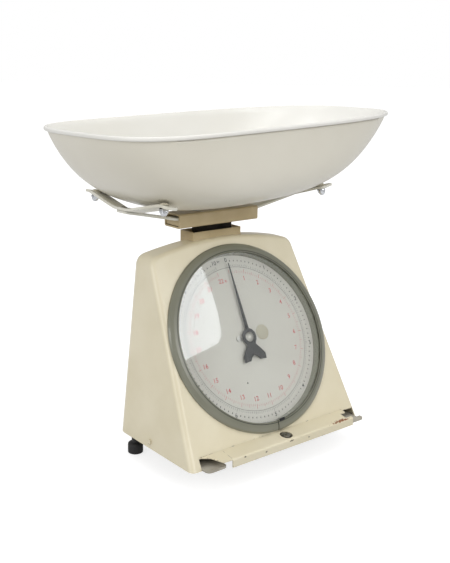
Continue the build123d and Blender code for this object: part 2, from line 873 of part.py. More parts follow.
with BuildPart() as quadrant:
    with BuildSketch(arbor_plane.offset(quadrant_height)):
        with BuildLine():
            Polyline(
                (0, 0),
                arbor_polar(quadrant_root, sector_start),
                *tooth_row(quadrant_pitch_radius, quadrant_middles),
                arbor_polar(quadrant_root, sector_end),
                close=True,
            )
        make_face()
        Circle(quadrant_hub_radius)
        with BuildLine():
            inner = quadrant_window_inner
            outer = quadrant_window_outer
            Line(window_corner(inner, sector_start, 1), window_corner(outer, sector_start, 1))
            ThreePointArc(
                window_corner(outer, sector_start, 1),
                arbor_polar(outer, sector_middle),
                window_corner(outer, sector_end, -1),
            )
            Line(window_corner(outer, sector_end, -1), window_corner(inner, sector_end, -1))
            ThreePointArc(
                window_corner(inner, sector_end, -1),
                arbor_polar(inner, sector_middle),
                window_corner(inner, sector_start, 1),
            )
        make_face(mode=Mode.SUBTRACT)
        with Locations(arbor_polar(drive_radius, radians(drive_angle))):
            SlotOverall(
                2 * (drive_pin_radius + slot_reach),
                2 * (drive_pin_radius + slot_clearance),
                rotation=drive_angle,
                mode=Mode.SUBTRACT,
            )
        Circle(arbor_radius, mode=Mode.SUBTRACT)
    extrude(amount=quadrant_thickness)

finish(quadrant.part, "quadrant")

finish(
    cylinder_along(
        arbor_plane,
        arbor_radius,
        plate_back_height - plate_thickness - pivot_reach,
        plate_front_height + pivot_reach,
    ),
    "quadrant_arbor",
)

# ---------------------------------------------------------------- frame, collar and springs

with BuildPart() as main_frame:
    with BuildSketch(Plane.YZ.offset(-frame_half_width)):
        with BuildLine():
            back_y = frame_y + frame_thickness
            Polyline(
                (back_y - frame_foot_depth, base_top_z),
                (back_y, base_top_z),
                (back_y, frame_top_z),
                (stem_y - bridge_depth / 2, frame_top_z),
                (stem_y - bridge_depth / 2, bridge_foot_z),
                (frame_y, bridge_foot_z),
                (frame_y, base_top_z + frame_thickness),
                (back_y - frame_foot_depth, base_top_z + frame_thickness),
                close=True,
            )
        make_face()
    extrude(amount=2 * frame_half_width)
    with BuildSketch(Plane.XY.offset(bridge_foot_z)):
        with Locations((0, stem_y)):
            Rectangle(2 * (stem_half_width + bridge_clearance), stem_thickness + 2 * bridge_clearance)
    extrude(amount=bridge_thickness, mode=Mode.SUBTRACT)
    with BuildSketch(Plane.XY.offset(bridge_foot_z - peg_length)):
        with Locations((-spring_x, stem_y), (spring_x, stem_y)):
            Circle(peg_radius)
    extrude(amount=peg_length)

finish(main_frame.part, "main_frame")

with BuildPart() as neck_collar:
    with BuildSketch(Plane.XY.offset(frame_top_z)):
        with Locations((0, stem_y)):
            RectangleRounded(2 * collar_half_length, 2 * collar_half_depth, collar_corner)
            Rectangle(
                2 * (collar_half_length - collar_wall),
                2 * (collar_half_depth - collar_wall),
                mode=Mode.SUBTRACT,
            )
    extrude(amount=collar_top_z - frame_top_z)

finish(neck_collar.part, "neck_collar")

with BuildPart() as stem_guide:
    with BuildSketch(Plane.XY.offset(guide_z)):
        with Locations((0, stem_y)):
            Rectangle(2 * (collar_half_length - collar_wall), 2 * (collar_half_depth - collar_wall))
            Rectangle(
                2 * (stem_half_width + running_gap),
                stem_thickness + 2 * running_gap,
                mode=Mode.SUBTRACT,
            )
    extrude(amount=guide_height)

finish(stem_guide.part, "stem_guide")

for place, side in (("left", -1), ("right", 1)):
    spring = helix_spring(
        spring_radius,
        spring_wire,
        crosshead_top_z + seat_gap,
        bridge_foot_z - seat_gap,
        spring_turns,
        side * spring_x,
        stem_y,
    )
    finish(spring, f"main_spring_{place}")

# ---------------------------------------------------------------- stem, crosshead and drive

with BuildPart() as stem:
    with BuildSketch(Plane.XZ.offset(-stem_y - stem_thickness / 2)):
        with Locations((0, (head_bottom_z + stem_foot_z) / 2)):
            Rectangle(2 * stem_half_width, head_bottom_z - stem_foot_z)
    extrude(amount=stem_thickness)
    with Locations(*[Plane(origin=(side * head_screw_x, stem_y, head_bottom_z)) for side in (-1, 1)]):
        Cylinder(
            head_screw_radius + fit_gap,
            head_screw_depth,
            align=(Align.CENTER, Align.CENTER, Align.MAX),
            mode=Mode.SUBTRACT,
        )
    with Locations(Plane(origin=(0, stem_y, link_stem_z), z_dir=(1, 0, 0))):
        Cylinder(link_pin_radius, 3 * stem_half_width, mode=Mode.SUBTRACT)

finish(stem.part, "stem")

with BuildPart() as crosshead:
    with BuildSketch(Plane.XY.offset(crosshead_foot_z)):
        with Locations((0, stem_y)):
            Rectangle(2 * crosshead_half_length, crosshead_depth)
            Rectangle(2 * stem_half_width, stem_thickness, mode=Mode.SUBTRACT)
    extrude(amount=crosshead_height)
    with BuildSketch(Plane.XY.offset(crosshead_top_z)):
        with Locations((-spring_x, stem_y), (spring_x, stem_y)):
            Circle(peg_radius)
    extrude(amount=peg_length)
    with Locations(Plane(origin=(zero_x, crosshead_front_y, crosshead_z), z_dir=(0, -1, 0))):
        Cylinder(
            trim_peg_radius,
            crosshead_front_y - zero_hook_y + trim_peg_radius,
            align=(Align.CENTER, Align.CENTER, Align.MIN),
        )

finish(crosshead.part, "crosshead")

arm_tip = dial_point(drive_across, drive_rise, drive_arm_height_out)
arm_rise = Vector(0, lean_sin, lean_cos) * (drive_arm_height / 2)
with BuildPart() as drive_arm:
    with BuildSketch(Plane.YZ.offset(drive_across - drive_arm_thickness / 2)):
        with BuildLine():
            Polyline(
                (crosshead_front_y, crosshead_z - drive_arm_height / 2),
                (crosshead_front_y, crosshead_z + drive_arm_height / 2),
                ((arm_tip + arm_rise).Y, (arm_tip + arm_rise).Z),
                ((arm_tip - arm_rise).Y, (arm_tip - arm_rise).Z),
                close=True,
            )
        make_face()
    extrude(amount=drive_arm_thickness)
    with BuildSketch(Plane.XZ.offset(-crosshead_front_y)):
        with Locations((drive_across, crosshead_z)):
            Rectangle(drive_foot_width, crosshead_height)
    extrude(amount=drive_foot_thickness)

finish(drive_arm.part, "drive_arm")

drive_plane = Plane(origin=dial_point(drive_across, drive_rise, 0), x_dir=(1, 0, 0), z_dir=dial_normal)
finish(cylinder_along(drive_plane, drive_pin_radius, drive_arm_height_out, drive_pin_top), "drive_pin")

# ---------------------------------------------------------------- check link

link_length = hypot(stem_y - link_pivot_y, platform_travel / 2)
link_plane = Plane(origin=(0, link_pivot_y, link_z), x_dir=(1, 0, 0)).rotated((link_tilt, 0, 0))
slot_plane = Plane(
    origin=link_plane.from_local_coords((-2 * link_half_width, link_length, 0)),
    x_dir=link_plane.y_dir,
    z_dir=(1, 0, 0),
)
with BuildPart() as check_link:
    with BuildSketch(link_plane.offset(-link_thickness / 2)):
        with Locations(*[(side * link_half_width, link_length / 2) for side in (-1, 1)]):
            Rectangle(link_strip, link_length)
        with Locations((0, link_cross_y)):
            Rectangle(2 * link_half_width, link_strip)
    extrude(amount=link_thickness)
    with Locations(link_plane):
        with Locations(*[
            Location((side * link_half_width, along, 0), (0, 90, 0))
            for side in (-1, 1)
            for along in (0, link_length)
        ]):
            Cylinder(link_eye_radius, link_strip)
    with Locations(link_plane):
        with Locations(Location((0, 0, 0), (0, 90, 0))):
            Cylinder(link_pin_radius + fit_gap, 3 * link_half_width, mode=Mode.SUBTRACT)
    with BuildSketch(slot_plane):
        SlotOverall(2 * (link_pin_radius + link_slot), 2 * (link_pin_radius + fit_gap))
    extrude(amount=4 * link_half_width, mode=Mode.SUBTRACT)

finish(check_link.part, "check_link")

pin_half_length = link_half_width + link_strip
fixed_pin_plane = Plane(origin=(0, link_pivot_y, link_z), z_dir=(1, 0, 0))
stem_pin_plane = Plane(origin=(0, stem_y, link_stem_z), z_dir=(1, 0, 0))
for place, end in ((fixed_pin_plane, "fixed"), (stem_pin_plane, "stem")):
    finish(cylinder_along(place, link_pin_radius, -pin_half_length, pin_half_length), f"link_pin_{end}")

bracket_half = link_half_width - link_strip / 2 - running_gap - link_bracket_thickness / 2
bracket_height = link_z + link_eye_radius - base_top_z
with BuildPart() as link_bracket:
    with BuildSketch(Plane.XZ.offset(-link_pivot_y - link_bracket_depth / 2)):
        with Locations(*[(side * bracket_half, base_top_z + bracket_height / 2) for side in (-1, 1)]):
            Rectangle(link_bracket_thickness, bracket_height)
        with Locations((0, link_bracket_cross_z)):
            Rectangle(2 * bracket_half, link_bracket_thickness)
    extrude(amount=link_bracket_depth)
    with Locations(fixed_pin_plane):
        Cylinder(link_pin_radius, 3 * link_half_width, mode=Mode.SUBTRACT)

finish(link_bracket.part, "link_bracket")

# ---------------------------------------------------------------- zero setting

zero_head_z = zero_plate_z + zero_plate_thickness
zero_screw_length = zero_head_z - zero_screw_end_z
with BuildPart() as zero_screw:
    with Locations((zero_x, zero_y, zero_head_z)):
        add(headed_screw(zero_head_radius, zero_head_height, zero_screw_radius, zero_screw_length))
    with Locations((zero_x, zero_y, zero_head_z + zero_head_height)):
        Box(2 * zero_head_radius, zero_slot_width, 2 * zero_slot_depth, mode=Mode.SUBTRACT)

finish(zero_screw.part, "zero_screw")

zero_leg_inside = zero_lever_width / 2 + zero_plate_margin
with BuildPart() as zero_bracket:
    with BuildSketch(Plane.XY.offset(zero_plate_z)):
        with Locations((zero_x, (zero_plate_front_y + zero_plate_back_y) / 2)):
            Rectangle(2 * (zero_leg_inside + zero_plate_thickness), zero_plate_back_y - zero_plate_front_y)
        with Locations((zero_x, zero_y)):
            Circle(zero_screw_radius + fit_gap, mode=Mode.SUBTRACT)
    extrude(amount=zero_plate_thickness)
    with BuildSketch(Plane.XY.offset(base_top_z)):
        with Locations((zero_x, zero_plate_back_y - zero_leg_depth / 2)):
            Rectangle(2 * (zero_leg_inside + zero_plate_thickness), zero_leg_depth)
            Rectangle(2 * zero_leg_inside, zero_leg_depth, mode=Mode.SUBTRACT)
    extrude(amount=zero_plate_z - base_top_z)

finish(zero_bracket.part, "zero_bracket")

zero_pivot_z = zero_lever_z + zero_lever_thickness / 2
pivot_plane = Plane(origin=(zero_x, zero_pivot_y, zero_pivot_z), z_dir=(1, 0, 0))
with BuildPart() as zero_lever:
    with BuildSketch(Plane.XY.offset(zero_lever_z)):
        with Locations((zero_x, (zero_lever_front_y + zero_lever_back_y) / 2)):
            Rectangle(zero_lever_width, zero_lever_back_y - zero_lever_front_y)
        with Locations((zero_x, zero_y)):
            Circle(zero_screw_radius + fit_gap, mode=Mode.SUBTRACT)
    extrude(amount=zero_lever_thickness)
    with Locations(pivot_plane):
        Cylinder(zero_boss_radius, zero_lever_width)
        Cylinder(zero_pin_radius + fit_gap, 2 * zero_lever_width, mode=Mode.SUBTRACT)
    with Locations((zero_x, zero_hook_y, zero_lever_z + zero_lever_thickness)):
        Cylinder(trim_peg_radius, peg_length / 2, align=(Align.CENTER, Align.CENTER, Align.MIN))

finish(zero_lever.part, "zero_lever")

with BuildPart() as zero_pivot:
    with BuildSketch(Plane.XY.offset(base_top_z)):
        with Locations(*[
            (zero_x + side * (zero_lever_width / 2 + running_gap + zero_ear_thickness / 2), zero_pivot_y)
            for side in (-1, 1)
        ]):
            Rectangle(zero_ear_thickness, zero_ear_depth)
    extrude(amount=zero_ear_height)
    with Locations(pivot_plane):
        Cylinder(zero_pin_radius, zero_lever_width + 2 * running_gap + 2 * zero_ear_thickness)

finish(zero_pivot.part, "zero_pivot")

trim_spring = helix_spring(
    trim_spring_radius,
    trim_spring_wire,
    zero_lever_z + zero_lever_thickness + seat_gap,
    crosshead_z - trim_peg_radius - seat_gap,
    trim_spring_turns,
    zero_x,
    zero_hook_y,
)
finish(trim_spring, "trim_spring")

# ---------------------------------------------------------------- load head

with BuildPart() as load_head:
    with BuildSketch(Plane.YZ.offset(-head_half_length)):
        with Locations((stem_y, head_bottom_z + head_height / 2)):
            RectangleRounded(2 * head_half_depth, head_height, head_corner)
            RectangleRounded(
                2 * (head_half_depth - head_wall),
                head_height - 2 * head_wall,
                head_corner - head_wall / 2,
                mode=Mode.SUBTRACT,
            )
    extrude(amount=2 * head_half_length)
    with Locations(*[(side * head_screw_x, stem_y, head_bottom_z) for side in (-1, 1)]):
        Cylinder(head_screw_radius + fit_gap, 3 * head_height, mode=Mode.SUBTRACT)

finish(load_head.part, "load_head")

head_screw_places = [(side * head_screw_x, stem_y, head_top_z) for side in (-1, 1)]
head_screw = headed_screw(
    head_screw_head,
    head_screw_head_height,
    head_screw_radius,
    head_height + head_screw_depth - seat_gap,
)
finish(set_of(head_screw, head_screw_places), "head_screws")

head_floor_z = head_bottom_z + head_wall
with BuildPart() as head_spacers:
    with BuildSketch(Plane.XY.offset(head_floor_z)):
        with Locations(*[(side * head_screw_x, stem_y) for side in (-1, 1)]):
            Circle(head_spacer_radius)
            Circle(head_screw_radius + fit_gap, mode=Mode.SUBTRACT)
    extrude(amount=strap_top_z - strap_thickness - head_floor_z)

finish(head_spacers.part, "head_spacers")

# ---------------------------------------------------------------- cradle


def arm_plane(side, lift):
    """Plane on the cradle bar's top at one arm, tilted with the bar, its local x toward the bar's end."""
    slope = Plane(
        origin=(side * arm_x, stem_y, arm_foot_z),
        x_dir=(1, 0, strap_tan * side),
        z_dir=(-strap_tan * side, 0, 1),
    )
    return slope.offset(lift)


def bolt_plane(side, end):
    """Plane on an arm's sloping top face where a buffer stands, its normal out of the face."""
    flat = arm_plane(side, 0)
    offset_y = left_bolt_y if side < 0 else right_bolt_y
    foot = Vector(0, end * offset_y, (offset_y - arm_flat) * arm_tan)
    out = Vector(0, -end * sin(radians(arm_slope)), cos(radians(arm_slope)))
    return Plane(
        origin=flat.from_local_coords(foot + out * strap_thickness),
        x_dir=flat.x_dir,
        z_dir=flat.from_local_coords(out) - flat.origin,
    )


bar_outline = bent_strip(
    [
        (arm_x + strap_end, arm_foot_z + strap_end * strap_tan),
        (strap_bend_x, strap_top_z),
        (-strap_bend_x, strap_top_z),
        (-arm_x - strap_end, arm_foot_z + strap_end * strap_tan),
    ],
    strap_thickness,
)
with BuildPart() as cradle_bar:
    with BuildSketch(Plane.XZ.offset(-stem_y - strap_width / 2)):
        with BuildLine():
            Polyline(*bar_outline, close=True)
        make_face()
    extrude(amount=strap_width)
    with Locations(*[(side * head_screw_x, stem_y, strap_top_z) for side in (-1, 1)]):
        Cylinder(head_screw_radius + fit_gap, 3 * strap_thickness, mode=Mode.SUBTRACT)
    for side in (-1, 1):
        with BuildSketch(arm_plane(side, strap_thickness)):
            with Locations((0, -rivet_offset), (0, rivet_offset)):
                Circle(rivet_radius)
        extrude(amount=-3 * strap_thickness, mode=Mode.SUBTRACT)

finish(cradle_bar.part, "cradle_bar")

arm_tip_rise = (arm_reach - arm_flat) * arm_tan
arm_outline = bent_strip(
    [
        (-arm_reach - arm_tip_length * arm_tip_out, arm_tip_rise - arm_tip_length * arm_tip_down),
        (-arm_reach, arm_tip_rise),
        (-arm_flat, 0),
        (arm_flat, 0),
        (arm_reach, arm_tip_rise),
        (arm_reach + arm_tip_length * arm_tip_out, arm_tip_rise - arm_tip_length * arm_tip_down),
    ],
    strap_thickness,
)
for side, place in ((-1, "left"), (1, "right")):
    flat = arm_plane(side, 0)
    outline_plane = Plane(
        origin=flat.from_local_coords((-strap_width / 2, 0, 0)),
        x_dir=(0, 1, 0),
        z_dir=flat.x_dir,
    )
    with BuildPart() as cradle_arm:
        with BuildSketch(outline_plane):
            with BuildLine():
                Polyline(*arm_outline, close=True)
            make_face()
        extrude(amount=strap_width)
        with BuildSketch(flat.offset(strap_thickness)):
            with Locations((0, -rivet_offset), (0, rivet_offset)):
                Circle(rivet_radius)
        extrude(amount=-3 * strap_thickness, mode=Mode.SUBTRACT)
        for end in (-1, 1):
            with BuildSketch(bolt_plane(side, end)):
                Circle(bolt_radius + fit_gap)
            extrude(amount=-2 * strap_thickness, mode=Mode.SUBTRACT)
    finish(cradle_arm.part, f"cradle_arm_{place}")

rivet = turned_about_z([
    (0, -rivet_grip),
    (rivet_radius, -rivet_grip),
    (rivet_radius, 0),
    (rivet_head_radius, 0),
    (rivet_radius, rivet_head_height),
    (0, rivet_head_height),
])
rivet_places = [
    arm_plane(side, strap_thickness).location * Location((0, end * rivet_offset, 0))
    for side in (-1, 1)
    for end in (-1, 1)
]
finish(set_of(rivet, rivet_places), "cradle_rivets")

# ---------------------------------------------------------------- pan


def pan_section(share, shrink, depth):
    """Points of one level of the pan, its long end toward +X, at a share of the depth below the rim."""
    left = pan_left * (1 - share**pan_left_fall) ** (1 / pan_left_round) - shrink
    right = pan_right * (1 - share**pan_right_fall) ** (1 / pan_right_round) - shrink
    half_width = pan_half_width * (1 - share**pan_side_fall) ** (1 / pan_side_round) - shrink
    power = 2 / (pan_rim_power + (pan_foot_power - pan_rim_power) * share)
    points = []
    for step in range(pan_points):
        angle = 2 * pi * step / pan_points
        along = abs(cos(angle)) ** power * (right if cos(angle) > 0 else -left)
        across = abs(sin(angle)) ** power * (half_width if sin(angle) > 0 else -half_width)
        points.append((along, across))
    return points, depth * (1 - share)


def pan_bowl(shrink, depth):
    """Solid inside one skin of the pan, standing on the pan plane, cut flat at the floor."""
    with BuildPart() as bowl:
        for share in pan_shares:
            points, height = pan_section(share, shrink, depth)
            with BuildSketch(pan_plane.offset(pan_depth - depth + height)):
                with BuildLine():
                    Spline(*points, periodic=True)
                make_face()
        loft()
    return bowl.part


with BuildPart() as pan_bead:
    with BuildSketch(pan_plane.offset(pan_depth - pan_bead_height)):
        with BuildLine():
            Spline(*pan_section(0, -pan_bead_reach, pan_depth)[0], periodic=True)
        make_face()
        with BuildLine():
            Spline(*pan_section(0, pan_wall / 2, pan_depth)[0], periodic=True)
        make_face(mode=Mode.SUBTRACT)
    extrude(amount=pan_bead_height)
    fillet(pan_bead.edges().sort_by(SortBy.LENGTH)[-2:], pan_bead_round)

pan_outside = pan_bowl(0, pan_depth)
with BuildPart() as pan:
    add(pan_outside)
    add(pan_bowl(pan_wall, pan_depth - pan_wall), mode=Mode.SUBTRACT)
    add(pan_bead.part)

finish(pan.part, "pan")

# ---------------------------------------------------------------- rubber buffers under the pan

buffer_places = [(side, end) for side in (-1, 1) for end in (-1, 1)]
bolt_planes = [bolt_plane(side, end) for side, end in buffer_places]
for place, corner in zip(bolt_planes, ("left_front", "left_back", "right_front", "right_back")):
    with BuildPart() as buffer:
        with BuildSketch(place):
            Circle(buffer_radius)
        extrude(amount=buffer_reach)
        with BuildSketch(place):
            Circle(bolt_radius)
        extrude(amount=stud_grip, mode=Mode.SUBTRACT)
        add(pan_outside.moved(Location((0, 0, -seat_gap))), mode=Mode.SUBTRACT)
    finish(buffer.part, f"buffer_{corner}")

buffer_stud = cylinder_along(Plane.XY, bolt_radius, -strap_thickness - acorn_hex_height, stud_grip)
finish(set_of(buffer_stud, [place.location for place in bolt_planes]), "buffer_studs")

with BuildPart() as acorn_nut:
    with BuildSketch():
        RegularPolygon(radius=acorn_radius, side_count=6)
    extrude(amount=-acorn_hex_height)
    with BuildSketch(Plane.XZ):
        with BuildLine():
            Line((0, -acorn_hex_height), (acorn_dome_radius, -acorn_hex_height))
            ThreePointArc(
                (acorn_dome_radius, -acorn_hex_height),
                (acorn_dome_radius * cos(pi / 4), -acorn_hex_height - acorn_dome_radius * sin(pi / 4)),
                (0, -acorn_hex_height - acorn_dome_radius),
            )
            Line((0, -acorn_hex_height - acorn_dome_radius), (0, -acorn_hex_height))
        make_face()
    revolve(axis=Axis.Z)
    with BuildSketch():
        Circle(bolt_radius + fit_gap)
    extrude(amount=-acorn_hex_height - fit_gap, mode=Mode.SUBTRACT)

acorn_places = [place.offset(-strap_thickness).location for place in bolt_planes]
finish(set_of(acorn_nut.part, acorn_places), "acorn_nuts")
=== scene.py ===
# %% [markdown]
# # A counter scale with a scoop pan
# This lesson dresses a finished CAD model: a spring scale with a big round dial
# and a loose enamelled pan. The CAD solids give the frame, and most of them show
# as they are. Blender adds the print on the dial, the paint, the enamel, the glass
# and the marks of long use, and models a few pieces again in a finer shape.

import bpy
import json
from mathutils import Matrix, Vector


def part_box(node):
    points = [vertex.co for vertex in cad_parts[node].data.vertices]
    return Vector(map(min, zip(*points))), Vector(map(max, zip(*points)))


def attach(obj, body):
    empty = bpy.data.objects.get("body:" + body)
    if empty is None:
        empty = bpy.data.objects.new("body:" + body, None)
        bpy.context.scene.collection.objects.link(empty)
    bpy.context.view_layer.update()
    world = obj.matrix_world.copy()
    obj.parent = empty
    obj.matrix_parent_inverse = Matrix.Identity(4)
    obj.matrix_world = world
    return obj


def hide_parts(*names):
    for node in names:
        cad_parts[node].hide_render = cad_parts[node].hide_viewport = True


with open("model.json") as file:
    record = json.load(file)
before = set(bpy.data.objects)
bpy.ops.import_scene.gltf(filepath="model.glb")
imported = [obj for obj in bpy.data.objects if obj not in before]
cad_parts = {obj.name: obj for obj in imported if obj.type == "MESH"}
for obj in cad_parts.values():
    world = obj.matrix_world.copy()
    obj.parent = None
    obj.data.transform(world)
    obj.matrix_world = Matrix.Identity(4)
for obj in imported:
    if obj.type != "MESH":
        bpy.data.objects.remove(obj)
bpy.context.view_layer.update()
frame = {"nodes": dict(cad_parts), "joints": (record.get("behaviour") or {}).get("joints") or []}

# %% [markdown]
# ## The dial's own directions
# The dial leans back with the front of the case. Its print is drawn flat, as on
# a printer's table, and leaned afterwards by one matrix. The pointer's joint
# already holds the dial's axis, so the lean is read from it and isn't typed in
# a second time.

# %% The dial's place
import bpy
import bmesh
import json
from math import atan2, copysign, cos, pi, radians, sin, tan
from mathutils import Matrix, Vector
from mathutils.bvhtree import BVHTree

MM = 0.001
DIAL_CENTRE = Vector((0, -16.5, 143.5)) * MM

joints = {joint["name"]: joint for joint in frame["joints"]}
dial_out = Vector(joints["pointer_turn"]["axis"]).normalized()
dial_across = Vector((1, 0, 0))
dial_up = dial_out.cross(dial_across)
lean = Matrix((dial_across, dial_up, dial_out)).transposed().to_4x4()
dial_place = Matrix.Translation(DIAL_CENTRE) @ lean
print("the dial faces", tuple(round(part, 4) for part in dial_out))

# %% [markdown]
# ## Camera
# The camera stands to the left of the scale and a little above it, so the front,
# the left side and the inside of the pan all show. The small roll and shift set
# the picture's frame, and every other view keeps them. A camera could also be
# aimed with a Track To constraint, but three turns in a row keep the roll exact.

# %% The camera
CAMERA_SPOT = (-0.63873, -0.75283, 0.46454)
CAMERA_TURN, CAMERA_DIP, CAMERA_ROLL = -38.94, 14.43, 0.87
CAMERA_LENS = 55.149
CAMERA_SHIFT = (0.00384, -0.00542)

scene = bpy.context.scene
scene.view_settings.view_transform = "Standard"

camera_data = bpy.data.cameras.new("view_camera")
camera_data.sensor_width = 36
camera_data.lens = CAMERA_LENS
camera_data.shift_x, camera_data.shift_y = CAMERA_SHIFT
camera = bpy.data.objects.new("view_camera", camera_data)
scene.collection.objects.link(camera)

turn = Matrix.Rotation(radians(CAMERA_TURN), 4, "Z")
tilt = Matrix.Rotation(radians(90 - CAMERA_DIP), 4, "X")
roll = Matrix.Rotation(radians(CAMERA_ROLL), 4, "Z")
camera.matrix_world = Matrix.Translation(CAMERA_SPOT) @ turn @ tilt @ roll
scene.camera = camera
print("camera at", tuple(round(part, 3) for part in camera.location))

# %% [markdown]
# ## Node helpers
# Materials and shared effects are both trees of shader nodes. A few short helpers
# keep them readable: each adds one kind of node and sets or wires its inputs, so
# that a tree reads like a sum and not like a list of links.

# %% Helpers for shader trees
# A Mix node keeps its colour sockets behind those for numbers and vectors.
MIX_COLOUR_INPUTS = (0, 6, 7)
MIX_COLOUR_OUTPUT = 2


def feed(tree, socket, value):
    """Wires another socket into this one, or types a plain value into it."""
    if isinstance(value, bpy.types.NodeSocket):
        tree.links.new(value, socket)
    else:
        socket.default_value = value


def add(tree, kind, settings=(), **inputs):
    """A node of that kind, with its settings, and its inputs set or wired."""
    node = tree.nodes.new(kind)
    for name, value in dict(settings).items():
        setattr(node, name, value)
    for name, value in inputs.items():
        feed(tree, node.inputs[name.replace("_", " ")], value)
    return node


def add_sum(tree, kind, operation, values, **settings):
    """A Math or Vector Math node, whose inputs have no useful names."""
    node = add(tree, kind, {"operation": operation, **settings})
    for socket, value in zip(node.inputs, values):
        feed(tree, socket, value)
    return node


def reckon(tree, operation, *values, clamp=False):
    """The output of a Math node over numbers or sockets."""
    return add_sum(tree, "ShaderNodeMath", operation, values, use_clamp=clamp).outputs[0]


def reckon_vector(tree, operation, *values):
    """The outputs of a Vector Math node: a vector under 0, a number under Value."""
    return add_sum(tree, "ShaderNodeVectorMath", operation, values).outputs


def fade(tree, value, start, end):
    """0 to 1 as value goes from start to end, held at both ends."""
    smoothed = {"interpolation_type": "SMOOTHSTEP"}
    node = add(tree, "ShaderNodeMapRange", smoothed, Value=value, From_Min=start, From_Max=end)
    return node.outputs["Result"]


def blend_colours(tree, mask, under, over):
    """under where mask is 0, over where it is 1."""
    node = add(tree, "ShaderNodeMix", {"data_type": "RGBA", "clamp_factor": True})
    for index, value in zip(MIX_COLOUR_INPUTS, (mask, under, over)):
        feed(tree, node.inputs[index], value)
    return node.outputs[MIX_COLOUR_OUTPUT]


# %% [markdown]
# ## Effects that several finishes share
# Real paint is never one colour. It is a little uneven, thin on its edges, dotted
# with chips and crossed by fine scratches. These could be painted by hand on an
# image, but a formula stays sharp at any distance and needs no file. Each is a
# node group with named inputs, so a finish sets how much of it there is. A group
# only puts out colours, masks and heights: the shader stays in each material.

# %% A new effect group
KINDS = {"colour": "NodeSocketColor", "number": "NodeSocketFloat", "vector": "NodeSocketVector"}


def effect(name, inputs, output, kind="number"):
    """An empty effect group with named inputs and one output."""
    tree = bpy.data.node_groups.new(name, "ShaderNodeTree")
    for label, (socket_kind, value) in inputs.items():
        socket = tree.interface.new_socket(label, in_out="INPUT", socket_type=KINDS[socket_kind])
        socket.default_value = value
    tree.interface.new_socket(output, in_out="OUTPUT", socket_type=KINDS[kind])
    given = tree.nodes.new("NodeGroupInput").outputs
    result = tree.nodes.new("NodeGroupOutput").inputs[0]
    return tree, given, result


def place(tree):
    """The point on the surface, in metres."""
    return tree.nodes.new("ShaderNodeTexCoord").outputs["Object"]


# %% Uneven colour
cloudy, given, result = effect(
    "uneven_colour",
    {
        "Colour": ("colour", (0.8, 0.8, 0.8, 1)),
        "Other": ("colour", (0.6, 0.6, 0.6, 1)),
        "Scale": ("number", 20.0),
        "Amount": ("number", 0.5),
    },
    "Colour",
    "colour",
)
broad = add(cloudy, "ShaderNodeTexNoise", Vector=place(cloudy), Scale=given["Scale"], Detail=6.0)
patches = fade(cloudy, broad.outputs["Fac"], 0.36, 0.66)
strength = reckon(cloudy, "MULTIPLY", patches, given["Amount"])
cloudy.links.new(blend_colours(cloudy, strength, given["Colour"], given["Other"]), result)
print("made", cloudy.name)

# %% Worn edges
worn, given, result = effect(
    "worn_edges",
    {"Width": ("number", 0.0015), "Ragged": ("number", 150.0), "Amount": ("number", 0.5)},
    "Mask",
)
rounded = add(worn, "ShaderNodeBevel", {"samples": 6}, Radius=given["Width"])
true_normal = worn.nodes.new("ShaderNodeNewGeometry").outputs["Normal"]
facing = reckon_vector(worn, "DOT_PRODUCT", rounded.outputs[0], true_normal)["Value"]
edge = fade(worn, facing, 0.995, 0.93)
breaks = add(worn, "ShaderNodeTexNoise", Vector=place(worn), Scale=given["Ragged"], Detail=4.0)
limit = reckon(worn, "SUBTRACT", 1.0, given["Amount"])
torn = fade(worn, breaks.outputs["Fac"], limit, reckon(worn, "ADD", limit, 0.06))
worn.links.new(reckon(worn, "MULTIPLY", edge, torn), result)
print("made", worn.name)

# %% Specks
specks, given, result = effect(
    "specks",
    {"Scale": ("number", 60.0), "Size": ("number", 0.1), "Share": ("number", 0.1)},
    "Mask",
)
SHAKE = (0.0016, 0.0016, 0.0016)

jitter = add(specks, "ShaderNodeTexNoise", Vector=place(specks), Scale=900.0).outputs["Color"]
shaken = reckon_vector(specks, "MULTIPLY_ADD", jitter, SHAKE, place(specks))[0]
cells = add(specks, "ShaderNodeTexVoronoi", Vector=shaken, Scale=given["Scale"])
lot = add(specks, "ShaderNodeSeparateColor", Color=cells.outputs["Color"])
chosen = reckon(specks, "LESS_THAN", lot.outputs[0], given["Share"])
size = reckon(specks, "MULTIPLY", given["Size"], lot.outputs[1])
inside = fade(specks, cells.outputs["Distance"], size, reckon(specks, "MULTIPLY", size, 0.6))
specks.links.new(reckon(specks, "MULTIPLY", chosen, inside), result)
print("made", specks.name)

# %% Fine scratches
scratches, given, result = effect(
    "scratches",
    {
        "Turn": ("vector", (0.0, 0.0, 0.0)),
        "Scale": ("number", 30.0),
        "Share": ("number", 0.1),
    },
    "Mask",
)
# Noise drawn out along one direction gives streaks. Where it passes its middle
# value there is a thin line, and a broad noise then keeps only some of the lines.
STRETCH = (0.06, 1.0, 1.0)

stretched = add(
    scratches, "ShaderNodeMapping", Vector=place(scratches), Rotation=given["Turn"], Scale=STRETCH
)
streaks = add(
    scratches, "ShaderNodeTexNoise", Vector=stretched.outputs[0],
    Scale=reckon(scratches, "MULTIPLY", given["Scale"], 14.0), Detail=2.0, Distortion=0.3,
)
from_middle = reckon(scratches, "SUBTRACT", streaks.outputs["Fac"], 0.5)
line = fade(scratches, reckon(scratches, "ABSOLUTE", from_middle), 0.006, 0.001)
where = add(scratches, "ShaderNodeTexNoise", Vector=place(scratches), Scale=given["Scale"])
limit = reckon(scratches, "SUBTRACT", 1.0, given["Share"])
kept = fade(scratches, where.outputs["Fac"], limit, reckon(scratches, "ADD", limit, 0.08))
scratches.links.new(reckon(scratches, "MULTIPLY", line, kept), result)
print("made", scratches.name)

